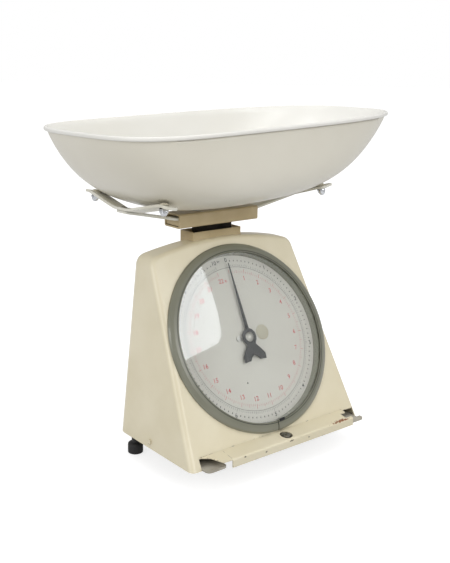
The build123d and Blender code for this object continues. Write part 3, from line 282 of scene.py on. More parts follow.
# %% One mark at one place
mark, given, result = effect(
    "one_mark",
    {
        "Centre": ("vector", (0.0, 0.0, 0.0)),
        "Size": ("vector", (0.01, 0.01, 0.01)),
        "Ragged": ("number", 0.5),
        "Grain": ("number", 300.0),
    },
    "Mask",
)
away = reckon_vector(mark, "SUBTRACT", place(mark), given["Centre"])[0]
scaled = reckon_vector(mark, "DIVIDE", away, given["Size"])[0]
reach = reckon_vector(mark, "LENGTH", scaled)["Value"]
grain = add(mark, "ShaderNodeTexNoise", Vector=place(mark), Scale=given["Grain"], Detail=5.0)
rough_edge = reckon(mark, "MULTIPLY", reckon(mark, "SUBTRACT", grain.outputs["Fac"], 0.5), 4.0)
rough_edge = reckon(mark, "MULTIPLY", rough_edge, given["Ragged"])
mark.links.new(fade(mark, reckon(mark, "ADD", reach, rough_edge), 1.0, 0.7), result)
print("made", mark.name)

# %% Painted shade and grime in corners
shade_and_grime, given, result = effect(
    "corner_shade_and_grime",
    {"Reach": ("number", 0.006), "Amount": ("number", 0.6)},
    "Mask",
)
# Painted shade: ambient occlusion gives a mask that is strong in corners and crevices, where shade falls,
# broken up by noise. Materials blend a dark dirt colour in with it.
closed_in = add(shade_and_grime, "ShaderNodeAmbientOcclusion", {"samples": 6}, Distance=given["Reach"])
depth = reckon(shade_and_grime, "SUBTRACT", 1.0, closed_in.outputs["AO"])
patchy = add(shade_and_grime, "ShaderNodeTexNoise", Vector=place(shade_and_grime), Scale=70.0, Detail=5.0)
uneven = fade(shade_and_grime, patchy.outputs["Fac"], 0.25, 0.7)
held = reckon(shade_and_grime, "MULTIPLY", reckon(shade_and_grime, "MULTIPLY", depth, uneven), given["Amount"], clamp=True)
shade_and_grime.links.new(held, result)
print("made", shade_and_grime.name)

# %% Fine lumps in paint
lumps, given, result = effect("paint_lumps", {"Scale": ("number", 500.0)}, "Height")
flow = add(lumps, "ShaderNodeTexNoise", Vector=place(lumps), Scale=given["Scale"], Detail=2.0)
lumps.links.new(flow.outputs["Fac"], result)
print("made", lumps.name)

# %% [markdown]
# ## Materials
# Every finish starts from the same Principled shader. Numbers that are the same
# all over are typed straight into the shader's sockets. Only what changes over
# the surface is wired. Colours are written as a screen shows them, from 0 to 255,
# which is easy to read, and one helper turns them into what a shader wants.

# %% A start for each finish
def rgb(red, green, blue):
    """A screen colour of 0 to 255 as the linear colour that a shader wants."""
    parts = []
    for value in (red, green, blue):
        value /= 255
        parts.append(value / 12.92 if value <= 0.04045 else ((value + 0.055) / 1.055) ** 2.4)
    return (*parts, 1.0)


def as_colour(value):
    """A plain number as a colour, for an effect that blends colours."""
    return (value, value, value, 1)


def finish(name, **settings):
    """A material with one Principled shader, its plain sockets set."""
    material = bpy.data.materials.new(name)
    material.use_nodes = True
    tree = material.node_tree
    shader = tree.nodes["Principled BSDF"]
    for label, value in settings.items():
        shader.inputs[label.replace("_", " ")].default_value = value
    return material, tree, shader


def use(tree, group, **inputs):
    """The output of one effect group, placed in a material with its own values."""
    return add(tree, "ShaderNodeGroup", {"node_tree": group}, **inputs).outputs[0]


def raise_surface(tree, shader, height, strength, distance):
    """Wires a height into the shader's Normal by way of a Bump node."""
    bump = add(tree, "ShaderNodeBump", Strength=strength, Distance=distance, Height=height)
    tree.links.new(bump.outputs[0], shader.inputs["Normal"])


finishes = {}

# %% [markdown]
# ## Old cream paint on the case
# The case is pressed steel with a thick stoved paint that has yellowed. Colour
# drifts slowly over each face, edges show bare dark metal where the paint has
# chipped, and the shelf under the dial has a rusty crack and a few chips. Edge wear
# could be painted face by face. Here it follows the shape by itself, and only the
# crack and the chips are set at their own places.

# %% Cream paint
CREAM = rgb(226, 217, 190)
CREAM_SHADE = rgb(217, 207, 177)
BARE = rgb(92, 82, 68)
RUST = rgb(133, 78, 34)
# A brown dirt colour that also paints shade into the case's corners.
DIRT_AND_SHADE = rgb(120, 104, 76)
FLY_SPECK = rgb(140, 118, 80)
RUST_PLACE = Vector((86, -90, 38)) * MM
# Each chip's place and width, in mm.
SHELF_CHIPS = ((3, -90, 36, 3.6), (-36, -90, 33, 1.5), (-67, -90, 36, 1.6), (31, -90, 33, 1.3))

cream, tree, shader = finish("cream_paint", Coat_Weight=0.5, Coat_Roughness=0.28)
colour = use(tree, cloudy, Colour=CREAM, Other=CREAM_SHADE, Scale=14.0, Amount=0.75)
# Painted shade and dirt: corners and crevices darken towards the brown colour, where shade falls.
shade_and_dirt = use(tree, shade_and_grime, Reach=0.006, Amount=0.7)
colour = blend_colours(tree, shade_and_dirt, colour, DIRT_AND_SHADE)
fly_specks = use(tree, specks, Scale=70.0, Size=0.09, Share=0.05)
colour = blend_colours(tree, fly_specks, colour, FLY_SPECK)
chips = use(tree, worn, Width=0.0012, Ragged=160.0, Amount=0.42)
colour = blend_colours(tree, chips, colour, BARE)
crack = use(tree, mark, Centre=RUST_PLACE, Size=Vector((15, 5, 1.0)) * MM, Ragged=0.7, Grain=420.0)
colour = blend_colours(tree, crack, colour, RUST)
for *spot, width in SHELF_CHIPS:
    size = Vector((width, 5, 0.9)) * MM
    chip = use(tree, mark, Centre=Vector(spot) * MM, Size=size, Ragged=0.8, Grain=700.0)
    colour = blend_colours(tree, chip, colour, BARE)
tree.links.new(colour, shader.inputs["Base Color"])
gloss = use(tree, cloudy, Colour=as_colour(0.34), Other=as_colour(0.42), Scale=12.0, Amount=1.0)
tree.links.new(gloss, shader.inputs["Roughness"])
raise_surface(tree, shader, use(tree, lumps, Scale=260.0), 0.12, 0.0004)
finishes["cream_paint"] = cream
print("made", cream.name)

# %% [markdown]
# ## Faded tan paint and the straps' cream paint
# The load head and the collar under it are a browner, flatter paint. The straps
# are cream with the undercoat showing where hands and pans have rubbed. The two
# differ only in colour, gloss and wear, so one recipe makes both.

# %% Tan paint and strap paint
def worn_paint(name, light, dark, undercoat, roughness, wear):
    """A flat brushed paint over metal: uneven, chipped on its edges, darker in corners with painted shade
    and dirt.
    """
    material, tree, shader = finish(name, Roughness=roughness)
    colour = use(tree, cloudy, Colour=light, Other=dark, Scale=28.0, Amount=0.9)
    # Painted shade and dirt: corners and crevices darken towards a dark brown, where shade falls.
    shade_and_dirt = use(tree, shade_and_grime, Reach=0.004, Amount=0.6)
    colour = blend_colours(tree, shade_and_dirt, colour, rgb(84, 74, 56))
    pits = use(tree, specks, Scale=110.0, Size=0.14, Share=0.06)
    colour = blend_colours(tree, pits, colour, undercoat)
    chips = use(tree, worn, Width=0.0008, Ragged=240.0, Amount=wear)
    colour = blend_colours(tree, chips, colour, undercoat)
    tree.links.new(colour, shader.inputs["Base Color"])
    raise_surface(tree, shader, use(tree, lumps, Scale=420.0), 0.15, 0.0003)
    return material


finishes["tan_paint"] = worn_paint(
    "tan_paint", rgb(190, 172, 134), rgb(176, 157, 118), rgb(112, 96, 66), 0.42, 0.4
)
finishes["strap_paint"] = worn_paint(
    "strap_paint", rgb(226, 224, 214), rgb(212, 208, 192), rgb(140, 130, 106), 0.36, 0.42
)
print("made", finishes["tan_paint"].name, "and", finishes["strap_paint"].name)

# %% [markdown]
# ## Olive-grey enamel on the bezel
# The bezel is spun steel in a smooth grey-green enamel, glossier than the case.
# A low roughness under a clear coat gives the long soft streaks that follow its
# cove. A plain gloss would do from afar, but the coat keeps the streaks soft.

# %% Bezel paint
bezel, tree, shader = finish("bezel_paint", Roughness=0.24, Coat_Weight=0.7, Coat_Roughness=0.1)
colour = use(tree, cloudy, Colour=rgb(120, 120, 104), Other=rgb(112, 113, 96), Scale=12.0, Amount=0.8)
chips = use(tree, worn, Width=0.0006, Ragged=300.0, Amount=0.3)
colour = blend_colours(tree, chips, colour, rgb(70, 68, 60))
# Painted shade: a dark line in the bezel's corners, mostly the contact shadow where it meets the case,
# with some dirt.
shade_and_dirt = use(tree, shade_and_grime, Reach=0.0025, Amount=0.8)
colour = blend_colours(tree, shade_and_dirt, colour, rgb(48, 46, 38))
tree.links.new(colour, shader.inputs["Base Color"])
raise_surface(tree, shader, use(tree, lumps, Scale=500.0), 0.06, 0.0003)
finishes["bezel_paint"] = bezel
print("made", bezel.name)

# %% [markdown]
# ## White stoved enamel on the pan
# The pan's enamel is nearly white and glossy. It is cleaner inside than outside,
# where it has yellowed and has small scuffs from being put down. The outside is
# also a darker, greyer copy of the enamel, painted shade for a face that turns
# down and away from the light. Both finishes come from one recipe, and the sheet
# carries one on each face.

# %% Pan enamel
# Each mark has a centre and size in mm, a strength and how ragged its edge is. The first four are scuffs,
# and the last is a painted contact shadow where the front-left buffer meets the pan.
SCUFF_AND_SHADOW = rgb(118, 112, 100)
PAN_SCUFFS_AND_SHADOW = (
    ((-152, -20, 372), (3, 4, 5), 0.7, 0.9),
    ((-148, -24, 365), (3, 4, 4), 0.5, 0.9),
    ((-121, -19, 349), (1.6, 2.4, 4), 0.8, 0.9),
    ((-60, -42, 346), (3, 3, 2.4), 0.45, 0.9),
    # A painted contact shadow on the pan where the front-left buffer meets it, not a scuff.
    ((-119, -8, 316), (7, 9, 5), 0.5, 0.3),
)


def pan_paint(name, light, dark, scuffs_and_shadow):
    """Glossy enamel: a slow drift of tone, faint scratches, and listed marks: scuffs and a painted shadow.
    """
    material, tree, shader = finish(name, Coat_Weight=0.3, Coat_Roughness=0.16)
    colour = use(tree, cloudy, Colour=light, Other=dark, Scale=5.0, Amount=0.8)
    colour = blend_colours(tree, use(tree, scratches, Scale=16.0, Share=0.36), colour, dark)
    for centre, size, strength, ragged in scuffs_and_shadow:
        centre, size = Vector(centre) * MM, Vector(size) * MM
        patch = use(tree, mark, Centre=centre, Size=size, Ragged=ragged, Grain=420.0)
        colour = blend_colours(tree, reckon(tree, "MULTIPLY", patch, strength), colour, SCUFF_AND_SHADOW)
    pits = use(tree, specks, Scale=60.0, Size=0.05, Share=0.04)
    colour = blend_colours(tree, pits, colour, rgb(160, 152, 134))
    tree.links.new(colour, shader.inputs["Base Color"])
    gloss = use(tree, cloudy, Colour=as_colour(0.36), Other=as_colour(0.42), Scale=8.0, Amount=1.0)
    tree.links.new(gloss, shader.inputs["Roughness"])
    raise_surface(tree, shader, use(tree, lumps, Scale=24.0), 0.12, 0.0008)
    return material


finishes["pan_enamel"] = pan_paint("pan_enamel", rgb(232, 231, 226), rgb(228, 226, 219), ())
# Painted shade: the outside enamel is darker and greyer than the inside, as it faces down and away from
# the light; it is also yellowed.
PAN_OUTSIDE_SHADED = pan_paint("pan_outside_shaded", rgb(223, 219, 206), rgb(216, 211, 196), PAN_SCUFFS_AND_SHADOW)
print("made", finishes["pan_enamel"].name, "and", PAN_OUTSIDE_SHADED.name)

# %% [markdown]
# ## Bare metals
# Steel, brass and chrome share one recipe: a metal whose gloss changes in patches,
# with fine scratches and dark corners. A metal takes its look from what it mirrors,
# so here the gloss matters more than the colour.

# %% Metals
def metal(name, light, dark, roughness, spread):
    """A metal with uneven tone and gloss, scratches, and tarnish in its corners."""
    material, tree, shader = finish(name, Metallic=1.0)
    colour = use(tree, cloudy, Colour=light, Other=dark, Scale=60.0, Amount=0.8)
    tarnish = use(tree, shade_and_grime, Reach=0.003, Amount=0.6)
    colour = blend_colours(tree, tarnish, colour, rgb(50, 44, 36))
    tree.links.new(colour, shader.inputs["Base Color"])
    dulled = as_colour(roughness + spread)
    gloss = use(tree, cloudy, Colour=as_colour(roughness), Other=dulled, Scale=140.0, Amount=1.0)
    tree.links.new(gloss, shader.inputs["Roughness"])
    raise_surface(tree, shader, use(tree, scratches, Scale=60.0, Share=0.5), 0.1, 0.0001)
    return material


METALS = {
    "grey_steel": (rgb(168, 166, 160), rgb(128, 124, 116), 0.38, 0.2),
    "bright_steel": (rgb(196, 194, 190), rgb(160, 156, 150), 0.26, 0.16),
    "spring_steel": (rgb(120, 120, 122), rgb(84, 82, 84), 0.34, 0.14),
    "chrome": (rgb(214, 216, 220), rgb(186, 188, 192), 0.06, 0.08),
    "brass": (rgb(198, 164, 92), rgb(160, 126, 66), 0.24, 0.16),
}
for name, look in METALS.items():
    finishes[name] = metal(name, *look)
# Painted shade: this dark steel goes on the stem, where it shows in the gap under the load head, and on
# the washers between straps and nuts. In both places it stands partly for the shade in those gaps.
DARK_STEEL_FOR_SHADE = metal("dark_steel_for_shade", rgb(58, 54, 48), rgb(38, 35, 31), 0.5, 0.2)
print("made six metals")

# %% [markdown]
# ## Rubber, nylon, zinc and the pointer's black
# These are the plain ones: rubber, plastic, flat black, beige and dull zinc plate.
# None of them shines, so one recipe with dust and a fine surface serves them all.

# %% Rubber, nylon, black, zinc and beige
def plain(name, light, dark, roughness, dust, scale=600.0):
    """A matt finish: a soft drift of tone, specks of dust and a fine surface."""
    material, tree, shader = finish(name, Roughness=roughness)
    colour = use(tree, cloudy, Colour=light, Other=dark, Scale=45.0, Amount=1.0)
    dots = use(tree, specks, Scale=420.0, Size=0.12, Share=0.1)
    colour = blend_colours(tree, dots, colour, dust)
    tree.links.new(colour, shader.inputs["Base Color"])
    raise_surface(tree, shader, use(tree, lumps, Scale=scale), 0.2, 0.0002)
    return material


PLAIN_FINISHES = {
    "black_rubber": (rgb(30, 30, 31), rgb(44, 43, 42), 0.62, rgb(96, 92, 86)),
    "guide_nylon": (rgb(214, 208, 190), rgb(196, 188, 166), 0.45, rgb(150, 140, 120)),
    "pointer_black": (rgb(8, 8, 10), rgb(14, 14, 16), 0.5, rgb(70, 70, 72)),
    "stamp_beige": (rgb(166, 160, 142), rgb(156, 150, 132), 0.5, rgb(150, 146, 132)),
}
for name, look in PLAIN_FINISHES.items():
    finishes[name] = plain(name, *look)
ZINC = plain("dull_zinc", rgb(182, 177, 164), rgb(160, 154, 140), 0.5, rgb(120, 104, 82))
print("made five plain finishes")

# %% [markdown]
# ## Dial face and glass
# The dial is a matt white plate under flat glass. Light has to pass the glass to
# reach the dial, which a path tracer finds hard. The glass could be left out, but
# then nothing would be mirrored in it, so for shadow rays alone it lets everything
# through.

# %% Dial white and glass
dial_white, tree, shader = finish("dial_white", Roughness=0.55)
colour = use(tree, cloudy, Colour=rgb(183, 180, 172), Other=rgb(178, 174, 166), Scale=10.0, Amount=1.0)
dots = use(tree, specks, Scale=90.0, Size=0.05, Share=0.05)
colour = blend_colours(tree, dots, colour, rgb(150, 142, 126))
tree.links.new(colour, shader.inputs["Base Color"])
raise_surface(tree, shader, use(tree, lumps, Scale=900.0), 0.05, 0.0001)
finishes["dial_white"] = dial_white

glass, tree, shader = finish(
    "glass", Base_Color=rgb(250, 252, 251), Roughness=0.02, IOR=1.5, Transmission_Weight=1.0
)
rays = tree.nodes.new("ShaderNodeLightPath")
tree.links.new(reckon(tree, "SUBTRACT", 1.0, rays.outputs["Is Shadow Ray"]), shader.inputs["Alpha"])
finishes["glass"] = glass
print("made", dial_white.name, "and", glass.name)

# %% [markdown]
# ## Give the CAD nodes their finishes
# Each CAD node arrives with a slot named after its finish, so one loop dresses
# the whole machine, its hidden movement included. Some nodes then differ: the
# wall behind the glass is painted like the bezel, the pointer's cap is turned
# steel, the stem is dark steel where it shows under the load head, partly painted
# shade for the gap there, the side screws are painted over, the base plate is
# dull zinc and the zero screw pale steel.

# %% Dress the CAD nodes
OTHER_FINISHES = {
    "dial_rim": finishes["bezel_paint"],
    "pointer_cap": finishes["grey_steel"],
    "stem": DARK_STEEL_FOR_SHADE,
    "case_screws": finishes["cream_paint"],
    "base_plate": ZINC,
    "zero_screw": finishes["bright_steel"],
}
for node_name, node in frame["nodes"].items():
    for slot in node.material_slots:
        slot.material = finishes[slot.material.name.split(".")[0]]
for node_name, material in OTHER_FINISHES.items():
    frame["nodes"][node_name].material_slots[0].material = material
print("dressed", len(frame["nodes"]), "CAD nodes")

# %% [markdown]
# ## Print on the dial
# The print is flat ink, just under a tenth of a millimetre above the face. One
# bmesh holds each colour of lines and one holds each colour of figures, laid out
# flat around the dial's middle. Zero is straight up, and a full load of 10 kg
# turns the pointer nearly once round. Print could also be an image on the dial, but
# real strokes stay crisp in a close view and keep their size in millimetres.

# %% Ink
BLACK_INK = plain("black_ink", rgb(26, 26, 30), rgb(44, 43, 46), 0.6, rgb(90, 88, 86), 900.0)
RED_INK = plain("red_ink", rgb(172, 66, 68), rgb(184, 88, 88), 0.6, rgb(210, 150, 146), 900.0)

# The face and the ink in mm out from the dial's middle plane, then turns in degrees.
DIAL_FACE_OUT = -7.1
INK_LIFT = 0.08
TURN_PER_KG = 34.88
TURN_PER_LB = 15.82


def mesh_object(name, bm, material):
    """The bmesh as an object at the origin, in one material."""
    mesh = bpy.data.meshes.new(name)
    bm.to_mesh(mesh)
    bm.free()
    mesh.materials.append(material)
    made = bpy.data.objects.new(name, mesh)
    scene.collection.objects.link(made)
    return made


def new_piece(name, bm, material, body, where=Matrix.Identity(4)):
    """A piece of the scale: the bmesh moved to its place, riding on a body."""
    bm.transform(where)
    piece = mesh_object(name, bm, material)
    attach(piece, body)
    print(name, "has", len(piece.data.polygons), "faces")
    return piece


def on_ring(radius, turn):
    """The point at that radius in mm and that clockwise turn in degrees from the top."""
    angle = radians(turn)
    return Vector((radius * sin(angle), radius * cos(angle), DIAL_FACE_OUT + INK_LIFT)) * MM


# %% Lines round the dial
def tick(bm, inner, outer, width, turn):
    """One flat line of ink along the radius."""
    middle = on_ring((inner + outer) / 2, turn)
    size = Matrix.Diagonal((width * MM, (outer - inner) * MM, 1, 1))
    spot = Matrix.Translation(middle) @ Matrix.Rotation(radians(-turn), 4, "Z") @ size
    bmesh.ops.create_grid(bm, x_segments=1, y_segments=1, size=0.5, matrix=spot)


def tick_ring(name, count, step, lengths, start, material):
    """Lines from a start radius outwards. lengths pairs a count with the line every so many get."""
    bm = bmesh.new()
    for index in range(count + 1):
        length, width = next(
            (length, width) for every, length, width in lengths if index % every == 0
        )
        if length:
            tick(bm, start, start + length, width, index * step)
    return new_piece(name, bm, material, "housing", dial_place)


# Each entry says that every so many lines, one has this length and width in mm.
KILOGRAM_LINES = ((20, 3.4, 0.5), (10, 3.0, 0.45), (1, 2.2, 0.36))
TENTH_MARKS = ((10, 0, 0), (1, 1.9, 1.05))
POUND_LINES = ((8, 5.2, 0.5), (4, 4.0, 0.42), (1, 2.6, 0.34))
tick_ring("kilogram_lines", 200, TURN_PER_KG / 20, KILOGRAM_LINES, 88.4, BLACK_INK)
tick_ring("tenth_marks", 100, TURN_PER_KG / 10, TENTH_MARKS, 94.4, BLACK_INK)
tick_ring("pound_lines", 176, TURN_PER_LB / 8, POUND_LINES, 79.8, RED_INK)

# %% The thin circle between the two scales
def turned(outline, steps=32):
    """A bmesh spun round the upright axis from (radius, height) points in mm."""
    bm = bmesh.new()
    points = [bm.verts.new((radius * MM, 0, height * MM)) for radius, height in outline]
    lines = [bm.edges.new(pair) for pair in zip(points, points[1:])]
    bmesh.ops.spin(
        bm, geom=points + lines, axis=(0, 0, 1), cent=(0, 0, 0), angle=2 * pi, steps=steps, use_merge=True
    )
    bmesh.ops.remove_doubles(bm, verts=bm.verts, dist=0.00001)
    bmesh.ops.recalc_face_normals(bm, faces=bm.faces)
    return bm


THIN_CIRCLE = [(radius, DIAL_FACE_OUT + INK_LIFT) for radius in (87.2, 87.6)]
new_piece("thin_circle", turned(THIN_CIRCLE, 180), BLACK_INK, "housing", dial_place)

# %% Figures
# A figure fills this share of its font's size, and its strokes are drawn out a little.
FIGURE_SHARE = 0.7
STROKE_EXTRA = 0.09


def figures(name, entries, material):
    """Upright figures. entries holds (words, height, across, up), all in mm on the dial."""
    bm = bmesh.new()
    for words, height, across, up in entries:
        curve = bpy.data.curves.new("figure", "FONT")
        curve.body = words
        curve.size = height * MM / FIGURE_SHARE
        curve.align_x = "CENTER"
        curve.align_y = "CENTER"
        curve.resolution_u = 3
        curve.offset = STROKE_EXTRA * MM
        holder = bpy.data.objects.new("figure", curve)
        scene.collection.objects.link(holder)
        flat = bpy.data.meshes.new_from_object(holder)
        flat.transform(Matrix.Translation(Vector((across, up, DIAL_FACE_OUT + INK_LIFT)) * MM))
        bm.from_mesh(flat)
        bpy.data.objects.remove(holder)
    return new_piece(name, bm, material, "housing", dial_place)


def round_dial(count, step, radius, height):
    """Entries for the figures 1 to count at equal turns round the dial."""
    spots = [(str(index), on_ring(radius, index * step) / MM) for index in range(1, count + 1)]
    return [(words, height, spot.x, spot.y) for words, spot in spots]


kilograms = round_dial(10, TURN_PER_KG, 96.6, 5.0)
kilograms += [("0", 5.0, 0, 96.6), ("kg", 3.0, -11.5, 96.3)]
figures("kilogram_figures", kilograms, BLACK_INK)
pounds = round_dial(22, TURN_PER_LB, 73.6, 5.4)
pounds += [("lb", 3.2, -8.0, 71.4)]
figures("pound_figures", pounds, RED_INK)

# %% [markdown]
# ## The pointer
# The pointer is one flat pressing: a long needle, a round middle and a tail like
# a blunt anchor that balances it. It could be cut from a plate with booleans, but
# an outline is simpler. One half is enough, because the other half is its mirror
# image. The flat face is then drawn up to its thickness.

# %% Pointer
POINTER_HALF = (
    (0, 92), (0.45, 92), (2.3, 10.2), (6.4, 8.2), (9.5, 4.2), (10.3, -0.4), (9.2, -4.6), (6.8, -8.0),
    (6.4, -9.8), (11.2, -15.2), (16.7, -22.6), (16.2, -29.2), (7.4, -28.6), (4.6, -24.6), (0, -21.8),
)
POINTER_OUT = -3.6
POINTER_THICK = 0.8


def new_verts(grown):
    """The vertices among what an extrude made."""
    return [part for part in grown["geom"] if isinstance(part, bmesh.types.BMVert)]


def draw_up(bm, thickness):
    """Draws flat faces up to a thickness in mm."""
    grown = bmesh.ops.extrude_face_region(bm, geom=bm.faces[:], use_keep_orig=True)
    bmesh.ops.translate(bm, verts=new_verts(grown), vec=(0, 0, thickness * MM))
    bmesh.ops.recalc_face_normals(bm, faces=bm.faces)


other_half = [(-across, up) for across, up in POINTER_HALF[-2:0:-1]]
bm = bmesh.new()
bm.faces.new([
    bm.verts.new(Vector((across, up, POINTER_OUT)) * MM) for across, up in (*POINTER_HALF, *other_half)
])
draw_up(bm, POINTER_THICK)
pointer = new_piece(
    "anchor_pointer", bm, finishes["pointer_black"], "pointer_shaft", dial_place
)
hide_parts("pointer")

# %% [markdown]
# ## Rubber feet
# Feet, rivets, buffers and nut caps are all turned, as the thin circle on the dial
# was: an outline of radius and height, spun once round. A lathe-like spin gives a
# cleaner mesh than a cylinder with its edges bevelled. Smooth shading then hides
# the facets, and only sharp edges stay crisp.

# %% Feet
def smooth(piece, angle=35):
    """Smooth shading, with edges sharper than the angle kept crisp."""
    for face in piece.data.polygons:
        face.use_smooth = True
    piece.data.set_sharp_from_angle(angle=radians(angle))


FOOT = (
    (0, 0), (8.2, 0), (9.0, 0.5), (9.2, 1.4), (9.2, 10.6), (8.9, 11.8), (8.0, 12.7), (6.4, 13.4),
    (5.0, 14.2), (4.5, 15.6), (4.5, 19.0), (0, 19.0),
)
for node_name in [name for name in frame["nodes"] if name.startswith("rubber_foot")]:
    low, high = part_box(node_name)
    spot = Matrix.Translation(((low[0] + high[0]) / 2, (low[1] + high[1]) / 2, 0))
    foot = new_piece(
        "round_" + node_name, turned(FOOT, 40), finishes["black_rubber"], "housing", spot
    )
    smooth(foot, 50)
    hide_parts(node_name)

# %% [markdown]
# ## The cradle
# The cradle is three bent straps: a bar through the load head, and an arm riveted
# across each end of it. Its slack in the head lets it sit a few degrees askew,
# so it is made square and turned by one matrix. Each strap starts as a line of
# points, is drawn out to its width, has its corners rounded and its bends
# softened, and only then gets its thickness. A solid bar bent with a modifier
# would stretch at its bends, and a strap keeps its thickness all along.

# %% A bent strap
STEM_Y = 60
ASKEW = 3.5
STRAP_THICK = 3.0
BEND_RADIUS = 4
askew = (
    Matrix.Translation((0, STEM_Y * MM, 0))
    @ Matrix.Rotation(radians(ASKEW), 4, "Z")
    @ Matrix.Translation((0, -STEM_Y * MM, 0))
)


def round_off(bm, geom, radius, segments, affect="EDGES"):
    """Rounds those edges or corners by a radius in mm."""
    bmesh.ops.bevel(
        bm, geom=geom, offset=radius * MM, segments=segments, profile=0.5, affect=affect, material=-1
    )


def strap(path, across, corner):
    """A strap from points in mm on its lower face, drawn out by the vector across."""
    bm = bmesh.new()
    line = [bm.verts.new(Vector(point) * MM) for point in path]
    edges = [bm.edges.new(pair) for pair in zip(line, line[1:])]
    grown = bmesh.ops.extrude_edge_only(bm, edges=edges)
    bmesh.ops.translate(bm, verts=new_verts(grown), vec=Vector(across) * MM)
    bmesh.ops.recalc_face_normals(bm, faces=bm.faces)
    if sum(face.normal.z for face in bm.faces) < 0:
        bmesh.ops.reverse_faces(bm, faces=bm.faces)
    round_off(bm, [edge for edge in bm.edges if len(edge.link_faces) == 2], BEND_RADIUS, 5)
    round_off(bm, [vert for vert in bm.verts if len(vert.link_edges) == 2], corner, 6, "VERTICES")
    return bm


def thicken(piece, thickness):
    """Upward thickness for a strap that lies on its lower face, and slightly round edges."""
    plate = piece.modifiers.new("thickness", "SOLIDIFY")
    plate.thickness = thickness * MM
    plate.offset = 1.0
    plate.use_even_offset = True
    rounding = piece.modifiers.new("rounding", "BEVEL")
    rounding.width = 0.5 * MM
    rounding.segments = 2
    rounding.limit_method = "ANGLE"
    rounding.angle_limit = radians(50)
    smooth(piece)


# %% Bar
# Lengths in mm and slopes in degrees, but a tip's rise is per mm of its length.
# -1 is the left side and 1 the right.
BAR_LOW = 279.0
BAR_WIDTH = 19.0
BAR_END_X = 136
BEND_X = 62
BAR_SLOPE = {-1: 12.4, 1: 9.5}
STRAP_GAP = 0.1

ARM_X = 127
ARM_WIDTH = 20
ARM_FLAT = 12
ARM_BEND_Y = 67
ARM_SLOPE = {-1: 13.0, 1: 16.2}
FRONT_TIP = 9
BACK_TIP = {-1: 4, 1: 9}
TIP_RISE = {-1: -0.16, 1: 0.18}
BOLT_Y = 63


def bar_height(x):
    """Height of the bar's lower face."""
    slope = BAR_SLOPE[-1 if x < 0 else 1]
    return BAR_LOW + max(abs(x) - BEND_X, 0) * tan(radians(slope))


def bar_point(x):
    """A point on the front edge of the bar's lower face."""
    return (x, STEM_Y - BAR_WIDTH / 2, bar_height(x))


arm_places = {
    side: Matrix.Translation(
        Vector((side * ARM_X, STEM_Y, bar_height(side * ARM_X) + STRAP_THICK + STRAP_GAP)) * MM
    )
    @ Matrix.Rotation(-side * radians(BAR_SLOPE[side]), 4, "Y")
    for side in (-1, 1)
}

bar = new_piece(
    "askew_bar",
    strap([bar_point(x) for x in (-BAR_END_X, -BEND_X, BEND_X, BAR_END_X)], (0, BAR_WIDTH, 0), 3),
    finishes["strap_paint"], "platform", askew,
)
thicken(bar, STRAP_THICK - STRAP_GAP)
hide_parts("cradle_bar")

# %% Packing under the bar
# The head's channel is packed up to the bar at both ends.
HANDS = {-1: "left", 1: "right"}
PACKING_SIZE = Vector((24, 26.2, 6.6)) * MM
PACKING_X, PACKING_Z = 47, 275.3
for side, hand in HANDS.items():
    bm = bmesh.new()
    bmesh.ops.create_cube(bm, size=1)
    bmesh.ops.scale(bm, verts=bm.verts, vec=PACKING_SIZE)
    round_off(bm, bm.edges[:], 0.4, 2)
    spot = Matrix.Translation(Vector((side * PACKING_X, STEM_Y, PACKING_Z)) * MM)
    packing = new_piece(
        f"head_packing_{hand}", bm, finishes["tan_paint"], "platform", spot
    )
    smooth(packing)


# %% Arms
def arm_rise(side, y):
    """Height of an arm's lower face above its middle, y mm from its middle."""
    return max(min(abs(y), ARM_BEND_Y) - ARM_FLAT, 0) * tan(radians(ARM_SLOPE[side]))


for side, hand in HANDS.items():
    bend_height = arm_rise(side, ARM_BEND_Y)
    back_tip = BACK_TIP[side]
    path = [
        (-ARM_BEND_Y - FRONT_TIP, bend_height + FRONT_TIP * TIP_RISE[side]),
        *[(y, arm_rise(side, y)) for y in (-ARM_BEND_Y, -ARM_FLAT, ARM_FLAT, ARM_BEND_Y)],
        (ARM_BEND_Y + back_tip, bend_height + back_tip * TIP_RISE[side]),
    ]
    arm = new_piece(
        f"askew_arm_{hand}",
        strap([(-ARM_WIDTH / 2, y, z) for y, z in path], (ARM_WIDTH, 0, 0), 5),
        finishes["strap_paint"], "platform", askew @ arm_places[side],
    )
    thicken(arm, STRAP_THICK)
    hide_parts(f"cradle_arm_{hand}")

# %% Rivets
RIVET_OFF = 6


def copies(shape, places):
    """One bmesh that holds a copy of shape at each place."""
    pattern = bpy.data.meshes.new("pattern")
    shape.to_mesh(pattern)
    shape.free()
    group = bmesh.new()
    for where in places:
        moved = pattern.copy()
        moved.transform(where)
        group.from_mesh(moved)
        bpy.data.meshes.remove(moved)
    bpy.data.meshes.remove(pattern)
    return group


RIVET = ((0, -6.2), (2.0, -6.2), (2.0, 0), (3.6, 0), (3.3, 0.7), (2.2, 1.25), (0, 1.4))
rivet_places = [
    askew @ arm_places[side] @ Matrix.Translation(Vector((0, end * RIVET_OFF, STRAP_THICK)) * MM)
    for side in (-1, 1)
    for end in (-1, 1)
]
rivets = new_piece(
    "round_rivets", copies(turned(RIVET, 20), rivet_places),
    finishes["grey_steel"], "platform",
)
smooth(rivets)
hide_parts("cradle_rivets")

# %% [markdown]
# ## The collar
# The collar between the case and the load head is a short oblong tube. A cube
# loses its top and bottom, its upright corners are rounded, and Solidify gives it
# a wall, so that the stem can still slide inside it. A boolean cut would do the
# same, but Solidify keeps the wall even with one number.

# %% Collar
COLLAR_LOW = Vector((-39.0, 45.8, 222.0)) * MM
COLLAR_HIGH = Vector((34.2, 73.0, 262.4)) * MM
COLLAR_ROUND = 1.6
COLLAR_WALL = 1.8

